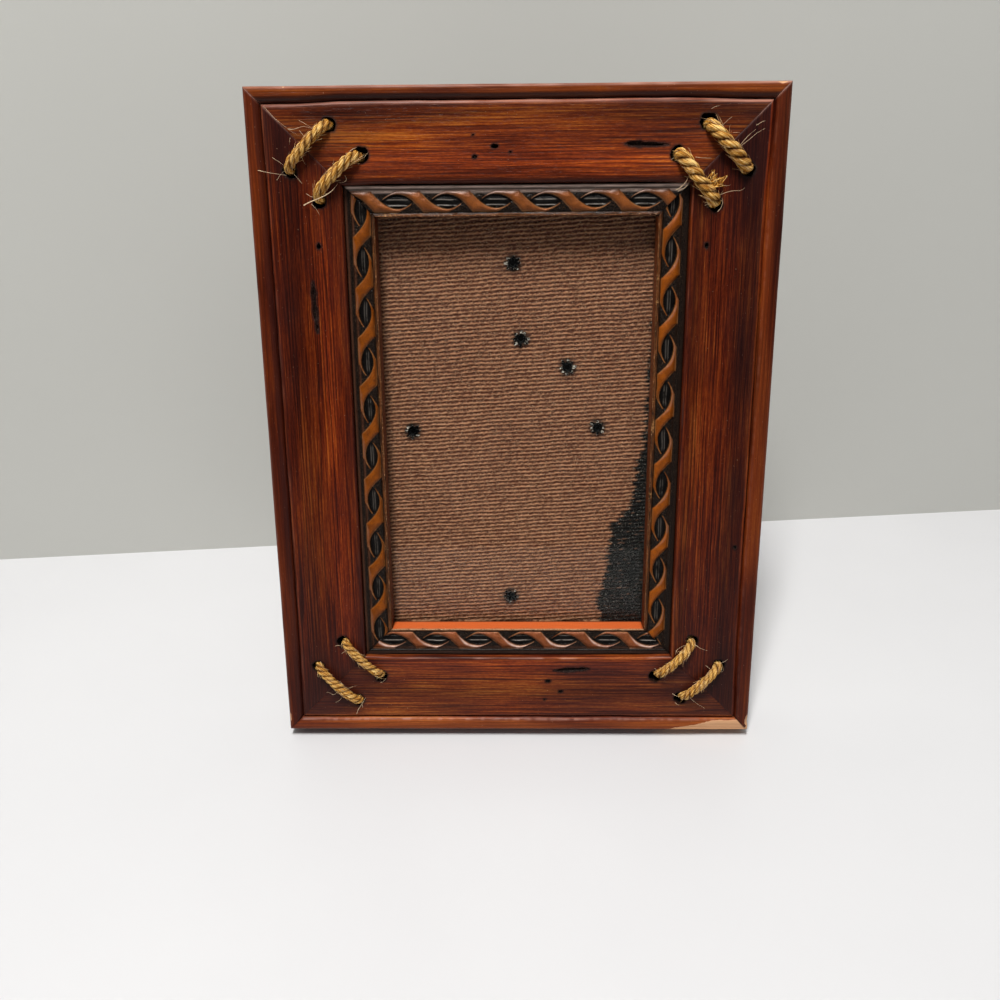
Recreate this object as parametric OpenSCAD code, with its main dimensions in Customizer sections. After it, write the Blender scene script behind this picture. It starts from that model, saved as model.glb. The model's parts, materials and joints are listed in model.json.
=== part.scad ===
// Small wooden picture frame with rope-stitched corners, standing on a folding back strut.
// Frame axes while modelling: x to the viewer's right, y from the front face towards the back,
// z up the frame, from the middle of the front face. stood_up() leans the whole thing back.

/* [Rails] */
// Width of the frame across its outer edges
frame_w = 165.1; // [140:0.1:200]
// Height of the frame across its outer edges
frame_h = 215.9; // [200:0.1:260]
// Visible width of a rail, from its outer edge to its sight edge
rail_w = 28.6; // [26:0.1:34]
// Thickness of a rail, from front to back
rail_d = 19; // [18:0.1:24]
// Width of the raised bead along the outer edge
bead_w = 5.9; // [4:0.1:8]
// Depth of the groove between the bead and the flat
quirk_d = 2.1; // [1:0.1:3]
// How far the flat lies below the top of the bead
flat_drop = 0.6; // [0.3:0.1:1.5]
// Radius that rolls the flat down to the sight edge
sight_r = 2.4; // [1:0.1:3]

/* [Slip] */
// Visible width of the carved inner slip
slip_w = 9.5; // [8:0.1:12]
// Depth from the front plane to the slip's rim
slip_drop = 2.7; // [2:0.1:4]
// Width of the slip that the rail's lip covers
slip_tongue = 4.5; // [3:0.1:6]
// Depth from the front plane to the ledge that the glass rests against
glass_seat = 10; // [8:0.1:11]
// Height of the saw-cut groove that the turn clips slide into
clip_groove_h = 1.5; // [1.2:0.1:2]
// Depth of that groove into the slip's wall
clip_groove_d = 4.4; // [4.2:0.1:5]

/* [Glass and board] */
// Width of the glass, the size of the picture
glass_w = 101.6; // [95:0.1:110]
// Height of the glass
glass_h = 152.4; // [145:0.1:160]
// Thickness of the glass
glass_t = 2; // [1.5:0.1:3]
// Space that the eyelets' burst ends keep between glass and board
board_gap = 0.6; // [0.5:0.1:1]
// Thickness of the hardboard back
board_t = 3; // [2:0.1:4]

/* [Rope stitches] */
// Diameter of the rope
rope_d = 4.2; // [3:0.1:5]
// Diameter of the holes that the rope ends are glued into
rope_hole_d = 5.8; // [5:0.1:7]
// Depth of those holes below the flat
rope_hole_depth = 8; // [6:0.1:10]

/* [Stand] */
// Angle that the frame leans back when it stands
lean = 10; // [8:0.5:12]
// Angle that the strut opens to before its heel stops it
strut_open = 22; // [18:0.5:26]
// Angle of the strut's hinge line below the horizontal
hinge_slant = 31.9; // [28:0.1:36]
// Thickness of the strut
strut_t = 3.2; // [2.5:0.1:4]
// Width of the strut at its hinge
strut_top_w = 29; // [28:0.5:32]
// Width of the strut at its foot
strut_foot_w = 38; // [34:0.5:44]

/* [Turn clips] */
// Length of the two plain clips, from the pivot to the tip
clip_len = 19; // [17.5:0.1:19.6]
// Length of the two hanger clips, from the pivot to the tip
hanger_len = 25.4; // [24.5:0.1:25.6]
// Width of a clip
clip_w = 10; // [8:0.5:11]
// Thickness of the clips' sheet steel
clip_t = 0.8; // [0.6:0.1:1]

/* [Hidden] */
$fn = 48;
// How far a cutting shape runs past the face that it cuts
cut = 1;

// Rail section
bead_round = 1;
bead_flat = 2;
shoulder_r = 2.6;
flat_arris = 0.45;
lip_d = 5.5;
rebate_w = 4.7;

// Slip section
fit_gap = 0.1;
rim_w = 1.3;
carve_drop = 0.6;
inner_lip_w = 1.4;
slip_arris = 0.3;
carve_angle = 80;
glass_play = 0.5;
board_play = 0.2;

// Places through the depth of the frame
clip_gap = 0.1;
groove_gap = 0.2;
board_front = glass_seat + glass_t + board_gap;
board_back = board_front + board_t;
clip_front = board_back + clip_gap;
groove_front = board_back - groove_gap;
wall_x = glass_w / 2 + glass_play;
wall_z = glass_h / 2 + glass_play;

// Each stitch: its hole in the upright and its hole in the crossbar, as [x, z]
STITCHES = [
    [[-71.8, 83.9], [-57.2, 97.6]],
    [[-62.9, 75.9], [-47.9, 88.9]],
    [[72.3, 83.7], [57.7, 97.5]],
    [[63.4, 73.6], [49.0, 88.1]],
    [[-72.2, -82.2], [-57.1, -96.6]],
    [[-62.7, -72.3], [-48.6, -86.8]],
    [[72.2, -82.0], [57.5, -95.6]],
    [[61.9, -73.0], [48.8, -87.2]]
];
stitch_arc = 20;
stitch_bend_r = 3;
stitch_root = 1.6;
bend_steps = 4;
crown_steps = 6;
rope_sides = 10;

// Joining hardware in the wood
v_nail_leg = 4.5;
v_nail_t = 0.6;
v_nail_h = 7;
v_nail_places = [9, 17];
v_nail_sink = 0.2;
pin_r = 0.6;
pin_len = 13;
pin_head_r = 0.96;
pin_head_t = 0.5;
pin_head_proud = 0.3;
pin_y = 17.9;
pin_reach_x = 28;
pin_reach_z = 48;

// Eyelets: a tube set through the board, with a rolled head behind and burst petals in front
eyelet_r = 1.5;
eyelet_bore_r = 1;
eyelet_head_r = 2.8;
eyelet_head_t = 0.5;
petal_count = 8;
petal_out_r = 2.9;
petal_in_r = 1.9;
petal_t = 0.5;
turn_gap = 0.08;
set_gap = 0.05;
board_hole_r = eyelet_r + set_gap;
pivot_left = [-35.7, -0.4];
pivot_bottom = [-2.3, -61.1];
pivot_top = [-1.2, 55.3];
pivot_right = [27.5, 0.6];

// Hanger clips are bridged, so that a nail's head fits behind their keyhole
bridge_lift = 1.6;
bridge_from = 6;
bridge_to = 17.5;
bridge_ramp = 2.2;
keyhole_r = 2.6;
keyslot_r = 1.2;
keyslot_run = 3.4;

// Hinge: its axis stands off the board, and its leaves are sheet steel
knuckle_r = 1.7;
knuckle_lift = 0.1;
hinge_pin_r = 0.8;
hinge_pin_gap = 0.02;
hinge_pin_tail = 0.4;
leaf_t = 0.8;
hinge_mid = [9.2, 26];
rivet_reach = 9.2;
rivet_up = 5.2;
hinge_x = hinge_mid[0] - rivet_up * sin(hinge_slant);
hinge_z = hinge_mid[1] - rivet_up * cos(hinge_slant);
hinge_y = board_back + knuckle_r + knuckle_lift;
leaf_reach = 13.5;
leaf_up = 9.6;
leaf_shoulder = 2.2;
knuckle_half = 4;
knuckle_end = 10;
knuckle_gap = 0.2;
strut_clear = 2.5;
strut_leaf_reach = 10.5;
strut_leaf_down = 13;
strut_rivet_reach = 6;
strut_rivet_down = 8;
rivet_tail_r = 2.4;
rivet_tail_t = 0.4;
strut_side_inset = 1.5;
strut_blank = 20;
heel_gap = 0.1;
leaf_face = leaf_t - knuckle_r - knuckle_lift;
heel_len = ((knuckle_r - leaf_t) * cos(strut_open) - leaf_face - heel_gap) / sin(strut_open);

// The table's upright direction and the way back, in the strut's own axes
up_x = -sin(hinge_slant) * cos(lean);
up_y = sin(strut_open) * cos(hinge_slant) * cos(lean) - cos(strut_open) * sin(lean);
up_z = cos(strut_open) * cos(hinge_slant) * cos(lean) + sin(strut_open) * sin(lean);
back_x = -sin(hinge_slant) * sin(lean);
back_y = sin(strut_open) * cos(hinge_slant) * sin(lean) + cos(strut_open) * cos(lean);
back_z = cos(strut_open) * cos(hinge_slant) * sin(lean) - sin(strut_open) * cos(lean);
hinge_height = (hinge_z + frame_h / 2) * cos(lean) - (hinge_y - rail_d) * sin(lean);
strut_len = (hinge_height + up_y * knuckle_r) / up_z;
foot_slope = atan(-up_x / up_z);
side_cut = -frame_w / 2 + strut_side_inset - hinge_x;
side_point = [side_cut * cos(hinge_slant), side_cut * sin(hinge_slant)];
side_dir = [sin(hinge_slant), -cos(hinge_slant)];
toe_run = (side_point[1] + strut_len - side_point[0] * tan(foot_slope))
    / (side_dir[0] * tan(foot_slope) - side_dir[1]);
toe = side_point + toe_run * side_dir;

// Where the standing frame goes: lowest point on z = 0, middle of its depth on y = 0. The
// foremost point is on the crown of the lower left outer stitch, the hindmost is the strut's toe
stand_z = frame_h / 2 * cos(lean) + rail_d * sin(lean);
crown_r = function(half) stitch_bend_r + (half - stitch_bend_r) / sin(stitch_arc);
crown_h = function(half) stitch_bend_r * cos(stitch_arc) + crown_r(half) * (1 - cos(stitch_arc));
front_stitch = STITCHES[4];
front_half = norm(front_stitch[1] - front_stitch[0]) / 2;
front_fall = (front_stitch[0][1] - front_stitch[1][1]) / (2 * front_half);
front_lean = front_fall * tan(lean);
front_gain = crown_r(front_half) * cos(lean) * front_lean * front_lean / 2;
front_y = (stitch_root - crown_h(front_half) - rope_d / 2) * cos(lean)
    + (front_stitch[0][1] + front_stitch[1][1]) / 2 * sin(lean) - front_gain;
back_y_end = hinge_y * cos(lean) + hinge_z * sin(lean)
    + back_x * toe[0] + back_y * (knuckle_r + strut_t) + back_z * toe[1];
stand_y = -(front_y + back_y_end) / 2;

module stood_up() {
    translate([0, stand_y, stand_z]) rotate([-lean, 0, 0]) children();
}

// Points of an arc about a centre, in [depth, width] section coordinates
function arc(centre, r, from, to, steps = 6) = [
    for (i = [0 : steps])
        let (a = from + (to - from) * i / steps)
        centre + r * [-cos(a), sin(a)]
];

// A bar along x whose section is a list of [depth, width], mitred at both ends
module mitred_bar(section, length) {
    reach = frame_w / 3;
    intersection() {
        rotate([90, 0, 90]) linear_extrude(height = length, center = true) polygon(section);
        rotate([90, 0, 0]) linear_extrude(height = 3 * rail_d, center = true)
            polygon([
                [-length / 2, 0], [length / 2, 0],
                [length / 2 - reach, reach], [-length / 2 + reach, reach]
            ]);
    }
}

// Puts a bar drawn for the bottom edge on one of the four sides
module on_side(side) {
    turn = side == "bottom" ? 0 : side == "left" ? 90 : side == "top" ? 180 : -90;
    reach = turn % 180 == 0 ? frame_h / 2 : frame_w / 2;
    rotate([0, turn, 0]) translate([0, 0, -reach]) children();
}

function side_length(side) = (side == "top" || side == "bottom") ? frame_w : frame_h;

rail_section = concat(
    [[rail_d, 0]],
    arc([bead_round, bead_round], bead_round, -90, 0),
    arc([shoulder_r, bead_round + bead_flat], shoulder_r, 0, acos(1 - quirk_d / shoulder_r)),
    [[quirk_d, bead_w]],
    [[flat_drop + flat_arris, bead_w + flat_arris], [flat_drop, bead_w + 2 * flat_arris]],
    arc([flat_drop + sight_r, rail_w - sight_r], sight_r, 0, 90),
    [[lip_d, rail_w], [lip_d, rail_w - rebate_w], [rail_d, rail_w - rebate_w]]
);

carve_mid = rail_w + (rim_w + slip_w - inner_lip_w) / 2;
carve_half = (slip_w - inner_lip_w - rim_w) / 2;
slip_section = concat(
    [[rail_d, rail_w - slip_tongue], [lip_d + fit_gap, rail_w - slip_tongue]],
    [[lip_d + fit_gap, rail_w + fit_gap], [slip_drop + slip_arris, rail_w + fit_gap]],
    [[slip_drop, rail_w + fit_gap + slip_arris], [slip_drop, rail_w + rim_w - slip_arris]],
    [for (a = [-carve_angle : carve_angle / 4 : carve_angle])
        [slip_drop + carve_drop - carve_drop * cos(a), carve_mid + carve_half * sin(a)]],
    [[slip_drop + slip_arris, rail_w + slip_w - inner_lip_w + slip_arris]],
    [[slip_drop + slip_arris, rail_w + slip_w - slip_arris]],
    [[slip_drop + 2 * slip_arris, rail_w + slip_w], [glass_seat, rail_w + slip_w]],
    [[glass_seat, frame_w / 2 - wall_x], [groove_front, frame_w / 2 - wall_x]],
    [[groove_front, frame_w / 2 - wall_x - clip_groove_d]],
    [[groove_front + clip_groove_h, frame_w / 2 - wall_x - clip_groove_d]],
    [[groove_front + clip_groove_h, frame_w / 2 - wall_x], [rail_d, frame_w / 2 - wall_x]]
);

module rope_holes() {
    for (stitch = STITCHES, hole = stitch)
        translate([hole[0], -cut, hole[1]]) rotate([-90, 0, 0])
            cylinder(d = rope_hole_d, h = cut + flat_drop + rope_hole_depth);
}

module rail(side) {
    color([0.42, 0.16, 0.08]) stood_up() difference() {
        on_side(side) mitred_bar(rail_section, side_length(side));
        rope_holes();
    }
}

module slip(side) {
    color([0.22, 0.13, 0.09]) stood_up()
        on_side(side) mitred_bar(slip_section, side_length(side));
}

// Mitre nails: V-shaped, two to a corner, driven in from the back
module v_nail() {
    for (turn = [-45, 45])
        rotate([0, turn, 0]) translate([-v_nail_t / 2, 0, 0]) cube([v_nail_t, v_nail_h, v_nail_leg]);
}

module mitre_nails() {
    color([0.6, 0.6, 0.62]) stood_up()
        for (sx = [-1, 1], sz = [-1, 1], w = v_nail_places)
            translate([sx * (frame_w / 2 - w), rail_d - v_nail_sink - v_nail_h, sz * (frame_h / 2 - w)])
                rotate([0, sz > 0 ? sx * 45 : sx * 135, 0]) v_nail();
}

// Slip pins: two to a side, through the slip's wall into the rail
module slip_pin() {
    rotate([0, 90, 0]) union() {
        cylinder(r = pin_r, h = pin_len, $fn = 24);
        translate([0, 0, -pin_head_proud]) cylinder(r = pin_head_r, h = pin_head_t, $fn = 24);
    }
}

module slip_pins() {
    color([0.6, 0.6, 0.62]) stood_up() for (s = [-1, 1], t = [-1, 1]) {
        translate([s * wall_x, pin_y, t * pin_reach_z]) rotate([0, s > 0 ? 0 : 180, 0]) slip_pin();
        translate([t * pin_reach_x, pin_y, s * wall_z]) rotate([0, -s * 90, 0]) slip_pin();
    }
}

module glass_pane() {
    color([0.8, 0.88, 0.86, 0.35]) stood_up()
        translate([-glass_w / 2, glass_seat, -glass_h / 2]) cube([glass_w, glass_t, glass_h]);
}

// Puts something drawn about the origin on the board's back, at an [x, z] place
module at_board(place, y) {
    translate([place[0], y, place[1]]) rotate([-90, 0, 0]) children();
}

function hinge_rivets() = [
    for (s = [-1, 1])
        hinge_mid + s * rivet_reach * [cos(hinge_slant), -sin(hinge_slant)]
];

module backing_board() {
    color([0.3, 0.2, 0.15]) stood_up() difference() {
        translate([-glass_w / 2 + board_play, board_front, -glass_h / 2 + board_play])
            cube([glass_w - 2 * board_play, board_t, glass_h - 2 * board_play]);
        for (place = concat([pivot_left, pivot_bottom, pivot_top, pivot_right], hinge_rivets()))
            at_board(place, board_front - cut) cylinder(r = board_hole_r, h = board_t + 2 * cut);
    }
}

// One rope stitch's centre line, [x, y, heading]: a leg up from one hole, a tight bend,
// a shallow crown, a second bend and a leg down the other hole
function stitch_line(half, leg) =
    let (crown = crown_r(half), bend = 90 - stitch_arc)
    concat(
        [[-half, leg, -90]],
        [for (i = [0 : bend_steps]) let (a = 180 + bend * i / bend_steps)
            [stitch_bend_r * cos(a) - half + stitch_bend_r, stitch_bend_r * sin(a), a + 90]],
        [for (i = [1 : crown_steps - 1]) let (a = 270 - stitch_arc + 2 * stitch_arc * i / crown_steps)
            [crown * cos(a), crown * sin(a) + crown - crown_h(half), a + 90]],
        [for (i = [0 : bend_steps]) let (a = 270 + stitch_arc + bend * i / bend_steps)
            [stitch_bend_r * cos(a) + half - stitch_bend_r, stitch_bend_r * sin(a), a + 90]],
        [[half, leg, 90]]
    );

module stitch(index) {
    a = STITCHES[index][0];
    b = STITCHES[index][1];
    mid = (a + b) / 2;
    line = stitch_line(norm(b - a) / 2, flat_drop + rope_hole_depth - stitch_root);
    last = len(line) - 1;
    points = [
        for (p = line, j = [0 : rope_sides - 1])
            let (turn = 360 * j / rope_sides, out = rope_d / 2 * cos(turn))
            [p[0] - out * sin(p[2]), p[1] + out * cos(p[2]), rope_d / 2 * sin(turn)]
    ];
    sides = [
        for (i = [0 : last - 1], j = [0 : rope_sides - 1], half = [0, 1])
            let (k = (j + 1) % rope_sides, near = i * rope_sides, far = near + rope_sides)
            half == 0 ? [near + j, far + j, far + k] : [near + j, far + k, near + k]
    ];
    ends = [
        for (j = [1 : rope_sides - 2], half = [0, 1])
            half == 0 ? [0, j, j + 1] : last * rope_sides * [1, 1, 1] + [0, j + 1, j]
    ];
    color([0.76, 0.58, 0.3]) stood_up()
        translate([mid[0], stitch_root, mid[1]]) rotate([0, -atan2(b[1] - a[1], b[0] - a[0]), 0])
            polyhedron(points, concat(sides, ends));
}

// An eyelet with its burst petals in front of the board and its rolled head on what it holds
module eyelet(place, head_y) {
    at_board(place, board_front) difference() {
        union() {
            cylinder(r = eyelet_r, h = head_y - board_front + eyelet_head_t);
            translate([0, 0, head_y - board_front]) cylinder(r = eyelet_head_r, h = eyelet_head_t);
            translate([0, 0, -petal_t]) linear_extrude(height = petal_t)
                polygon([for (i = [0 : 2 * petal_count - 1])
                    let (r = i % 2 == 0 ? petal_out_r : petal_in_r, a = 180 * i / petal_count)
                    r * [cos(a), sin(a)]]);
        }
        translate([0, 0, -petal_t - cut]) cylinder(r = eyelet_bore_r, h = head_y);
    }
}

module clip_eyelet(place) {
    color([0.5, 0.5, 0.5]) stood_up() eyelet(place, clip_front + clip_t + turn_gap);
}

module hinge_eyelets() {
    color([0.5, 0.5, 0.5]) stood_up()
        for (place = hinge_rivets()) eyelet(place, board_back + leaf_t);
}

// A round-ended clip blank that points along +x, with its pivot at the origin
module clip_blank(length, thickness) {
    cylinder(d = clip_w, h = thickness);
    translate([0, -clip_w / 2, 0]) cube([length - clip_w / 2, clip_w, thickness]);
    translate([length - clip_w / 2, 0, 0]) cylinder(d = clip_w, h = thickness);
}

module plain_clip(place, turn) {
    color([0.7, 0.7, 0.7]) stood_up() at_board(place, clip_front) rotate([0, 0, turn]) difference() {
        clip_blank(clip_len, clip_t);
        translate([0, 0, -cut]) cylinder(r = eyelet_r + turn_gap, h = clip_t + 2 * cut);
    }
}

// The hanger clip's sheet seen from the side: flat, up a ramp, over the bridge and down again
module bridged_sheet(length) {
    path = [
        [-clip_w, 0], [bridge_from, 0], [bridge_from + bridge_ramp, bridge_lift],
        [bridge_to - bridge_ramp, bridge_lift], [bridge_to, 0], [length + cut, 0]
    ];
    rotate([90, 0, 0]) linear_extrude(height = 2 * clip_w, center = true)
        polygon(concat(path, [for (i = [len(path) - 1 : -1 : 0]) path[i] + [0, clip_t]]));
}

module hanger_clip(place, turn) {
    key = (bridge_from + bridge_to) / 2 - keyslot_run / 2;
    color([0.7, 0.7, 0.7]) stood_up() at_board(place, clip_front) rotate([0, 0, turn]) difference() {
        intersection() {
            bridged_sheet(hanger_len);
            clip_blank(hanger_len, clip_t + bridge_lift);
        }
        translate([0, 0, -cut]) cylinder(r = eyelet_r + turn_gap, h = clip_t + 2 * cut);
        translate([key, 0, bridge_lift - cut]) {
            cylinder(r = keyhole_r, h = clip_t + 2 * cut);
            translate([0, -keyslot_r, 0]) cube([keyslot_run, 2 * keyslot_r, clip_t + 2 * cut]);
            translate([keyslot_run, 0, 0]) cylinder(r = keyslot_r, h = clip_t + 2 * cut);
        }
    }
}

// Space of the hinge: x along its pin, y away from the board, z up the strut
module hinge_space(open) {
    translate([hinge_x, hinge_y, hinge_z]) rotate([0, hinge_slant, 0]) rotate([open, 0, 0]) children();
}

module hinge_board_leaf() {
    leaf_y = board_back - hinge_y;
    color([0.7, 0.7, 0.7]) stood_up() hinge_space(0) difference() {
        union() {
            translate([-leaf_reach, leaf_y, 0]) cube([2 * leaf_reach, leaf_t, leaf_up]);
            for (s = [-1, 1]) {
                x = s > 0 ? knuckle_half + knuckle_gap : -knuckle_end;
                translate([x, 0, 0]) rotate([0, 90, 0])
                    cylinder(r = knuckle_r, h = knuckle_end - knuckle_half - knuckle_gap);
            }
        }
        translate([-leaf_reach, 0, 0]) rotate([0, 90, 0])
            cylinder(r = hinge_pin_r + hinge_pin_gap, h = 2 * leaf_reach);
        translate([-knuckle_half - knuckle_gap, leaf_y - cut, -knuckle_r - cut])
            cube([2 * (knuckle_half + knuckle_gap), 2 * (knuckle_r + cut), 2 * knuckle_r + cut]);
        for (s = [-1, 1]) {
            translate([s * rivet_reach, leaf_y - cut, rivet_up]) rotate([-90, 0, 0])
                cylinder(r = board_hole_r, h = leaf_t + 2 * cut);
            x = s > 0 ? knuckle_end : -leaf_reach - cut;
            translate([x, leaf_y - cut, -cut])
                cube([leaf_reach - knuckle_end + cut, leaf_t + 2 * cut, leaf_shoulder + cut]);
        }
    }
}

module hinge_pin() {
    color([0.75, 0.75, 0.75]) stood_up() hinge_space(0)
        translate([-knuckle_end - hinge_pin_tail, 0, 0]) rotate([0, 90, 0])
            cylinder(r = hinge_pin_r, h = 2 * (knuckle_end + hinge_pin_tail));
}

module hinge_strut_leaf() {
    color([0.7, 0.7, 0.7]) stood_up() hinge_space(strut_open) difference() {
        union() {
            translate([-knuckle_half, 0, 0]) rotate([0, 90, 0])
                cylinder(r = knuckle_r, h = 2 * knuckle_half);
            translate([-knuckle_half, knuckle_r - leaf_t, -strut_clear])
                cube([2 * knuckle_half, leaf_t, strut_clear + heel_len]);
            translate([-strut_leaf_reach, knuckle_r - leaf_t, -strut_leaf_down])
                cube([2 * strut_leaf_reach, leaf_t, strut_leaf_down - strut_clear]);
        }
        translate([-knuckle_half - cut, 0, 0]) rotate([0, 90, 0])
            cylinder(r = hinge_pin_r + turn_gap, h = 2 * (knuckle_half + cut));
        for (s = [-1, 1])
            translate([s * strut_rivet_reach, 0, -strut_rivet_down]) rotate([-90, 0, 0])
                cylinder(r = board_hole_r, h = knuckle_r + cut);
    }
}

module strut_rivets() {
    under = knuckle_r - leaf_t;
    color([0.5, 0.5, 0.5]) stood_up() hinge_space(strut_open)
        for (s = [-1, 1])
            translate([s * strut_rivet_reach, under, -strut_rivet_down]) rotate([-90, 0, 0]) difference() {
                union() {
                    cylinder(r = eyelet_r, h = leaf_t + strut_t);
                    translate([0, 0, -rivet_tail_t]) cylinder(r = rivet_tail_r, h = rivet_tail_t);
                    translate([0, 0, leaf_t + strut_t]) cylinder(r = eyelet_head_r, h = eyelet_head_t);
                }
                translate([0, 0, -cut]) cylinder(r = eyelet_bore_r, h = strut_t + 3 * cut);
            }
}

// The strut widens to a pointed foot: one cut meets the table, the other stands it sideways
module strut() {
    color([0.13, 0.12, 0.12]) stood_up() hinge_space(strut_open) difference() {
        translate([0, knuckle_r + strut_t, 0]) rotate([90, 0, 0]) linear_extrude(height = strut_t)
            intersection() {
                polygon([
                    [-strut_top_w / 2, -strut_clear], [strut_top_w / 2, -strut_clear],
                    [strut_foot_w / 2, -strut_len - strut_blank],
                    [-strut_foot_w / 2, -strut_len - strut_blank]
                ]);
                translate([0, -strut_len]) rotate(foot_slope)
                    translate([-strut_len, 0]) square([2 * strut_len, 2 * strut_len]);
                translate(side_point) rotate(hinge_slant)
                    translate([0, -strut_len * 2]) square([2 * strut_len, 4 * strut_len]);
            }
        for (s = [-1, 1])
            translate([s * strut_rivet_reach, 0, -strut_rivet_down]) rotate([-90, 0, 0])
                cylinder(r = board_hole_r, h = knuckle_r + strut_t + cut);
    }
}

rail("top");  // rail_top
rail("bottom");  // rail_bottom
rail("left");  // rail_left
rail("right");  // rail_right
slip("top");  // slip_top
slip("bottom");  // slip_bottom
slip("left");  // slip_left
slip("right");  // slip_right
mitre_nails();
slip_pins();
glass_pane();
backing_board();
stitch(0);  // stitch_top_left_outer
stitch(1);  // stitch_top_left_inner
stitch(2);  // stitch_top_right_outer
stitch(3);  // stitch_top_right_inner
stitch(4);  // stitch_bottom_left_outer
stitch(5);  // stitch_bottom_left_inner
stitch(6);  // stitch_bottom_right_outer
stitch(7);  // stitch_bottom_right_inner
hinge_board_leaf();
hinge_eyelets();
hinge_pin();
hinge_strut_leaf();
strut_rivets();
strut();
plain_clip(pivot_left, 180);  // clip_left
plain_clip(pivot_bottom, 90);  // clip_bottom
hanger_clip(pivot_top, -90);  // hanger_clip_top
hanger_clip(pivot_right, 0);  // hanger_clip_right
clip_eyelet(pivot_left);  // eyelet_left
clip_eyelet(pivot_bottom);  // eyelet_bottom
clip_eyelet(pivot_top);  // eyelet_top
clip_eyelet(pivot_right);  // eyelet_right
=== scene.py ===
# A wooden picture frame with rope-stitched corners, a carved slip, glass and an easel back.
# Lengths are in millimetres up to the point where a mesh is written, which is in metres.
import json
import math
import bmesh
import bpy
import numpy as np
from mathutils import Matrix, Vector


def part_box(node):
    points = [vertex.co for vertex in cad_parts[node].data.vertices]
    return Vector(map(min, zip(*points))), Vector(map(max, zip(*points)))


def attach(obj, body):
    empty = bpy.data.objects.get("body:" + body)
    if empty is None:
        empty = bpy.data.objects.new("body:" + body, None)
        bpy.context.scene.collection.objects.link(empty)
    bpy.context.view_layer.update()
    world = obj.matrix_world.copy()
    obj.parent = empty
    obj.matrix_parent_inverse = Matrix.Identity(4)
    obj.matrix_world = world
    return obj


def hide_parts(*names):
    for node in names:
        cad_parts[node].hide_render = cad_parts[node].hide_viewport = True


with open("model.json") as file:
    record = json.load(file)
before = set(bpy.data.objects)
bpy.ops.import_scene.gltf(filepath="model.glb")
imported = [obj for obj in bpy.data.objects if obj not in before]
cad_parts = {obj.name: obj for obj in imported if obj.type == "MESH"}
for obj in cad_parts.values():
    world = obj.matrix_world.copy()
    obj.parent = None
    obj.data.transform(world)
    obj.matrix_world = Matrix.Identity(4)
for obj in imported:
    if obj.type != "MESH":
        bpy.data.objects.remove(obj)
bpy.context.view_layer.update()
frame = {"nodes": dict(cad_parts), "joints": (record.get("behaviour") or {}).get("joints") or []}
nodes = frame["nodes"]
MM = 0.001
TURN = 2 * math.pi


def add_object(name, data):
    """An object in the scene that shows the data."""
    made = bpy.data.objects.new(name, data)
    bpy.context.scene.collection.objects.link(made)
    return made


# Camera: at the photograph's viewing angle. Angles are in degrees.
CAMERA_PLACE = (0.00034, -0.31080, 0.22701)
CAMERA_AIM = 1.218
CAMERA_DOWN = 25.854
CAMERA_ROLL = -0.677

camera = add_object("camera", bpy.data.cameras.new("camera"))
bpy.context.scene.camera = camera
camera.data.lens = 34.04
camera.data.sensor_width = 36.0
camera.data.clip_start = 0.01
camera.matrix_world = (
    Matrix.Translation(CAMERA_PLACE)
    @ Matrix.Rotation(math.radians(CAMERA_AIM), 4, "Z")
    @ Matrix.Rotation(math.radians(90 - CAMERA_DOWN), 4, "X")
    @ Matrix.Rotation(math.radians(CAMERA_ROLL), 4, "Z")
)

# The frame leans back. Its own axes are across, back (depth) and up; pieces on it are made in those.
BACK = Vector(next(j for j in frame["joints"] if j["name"] == "clip_left_turn")["axis"]).normalized()
UP = Vector((1, 0, 0)).cross(BACK)
GLASS_DEPTH = 11.0
glass_low, glass_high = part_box("glass_pane")
FRONT = (glass_low + glass_high) / 2 - BACK * GLASS_DEPTH * MM
LEAN = Matrix((
    (1, BACK.x, UP.x, FRONT.x),
    (0, BACK.y, UP.y, FRONT.y),
    (0, BACK.z, UP.z, FRONT.z),
    (0, 0, 0, 1),
))
UNLEAN = LEAN.inverted()

SIDES = ("top", "right", "bottom", "left")
UPRIGHTS = ("left", "right")
# Sizes; depths count from the front of the bead
FRAME_W = 165.1
FRAME_H = 215.9
RAIL_W = 28.6
RAIL_D = 19.0
BEAD_W = 4.85
QUIRK = 2.1
FLAT = 0.6
SIGHT_R = 0.8
LIP_D = 5.5
REBATE = 23.9
SLIP_OUT = 28.7
SLIP_IN = 38.1
SLIP_FRONT = 2.7
BOARD_FRONT = 12.6
BOARD_BACK = 15.6


# Fields: numbers that vary over a surface
def smooth_step(low, high, value):
    t = np.clip((value - low) / (high - low), 0, 1)
    return t * t * (3 - 2 * t)


def bell(value, middle, width):
    """1 at the middle, falling off to both sides of it."""
    return np.exp(-((value - middle) / width) ** 2)


def fade(distance, reach):
    """1 where the distance is 0 or less, falling off beyond."""
    return np.exp(-np.maximum(distance, 0) / reach)


def drift(a, b, seed):
    """A smooth random field of about -1 to 1, with one lattice point for each whole a and b."""
    table = np.random.RandomState(seed).uniform(-1, 1, (97, 89))
    i = np.floor(a).astype(int)
    j = np.floor(b).astype(int)
    f = a - i
    g = b - j
    f = f * f * (3 - 2 * f)
    g = g * g * (3 - 2 * g)
    near = table[i % 97, j % 89] * (1 - f) + table[(i + 1) % 97, j % 89] * f
    far = table[i % 97, (j + 1) % 89] * (1 - f) + table[(i + 1) % 97, (j + 1) % 89] * f
    return near * (1 - g) + far * g


def widened(spots):
    """The spots of a grid that are marked, and all their neighbours."""
    wide = spots.copy()
    for a in (-1, 0, 1):
        for b in (-1, 0, 1):
            wide |= np.roll(np.roll(spots, a, 0), b, 1)
    return wide


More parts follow.
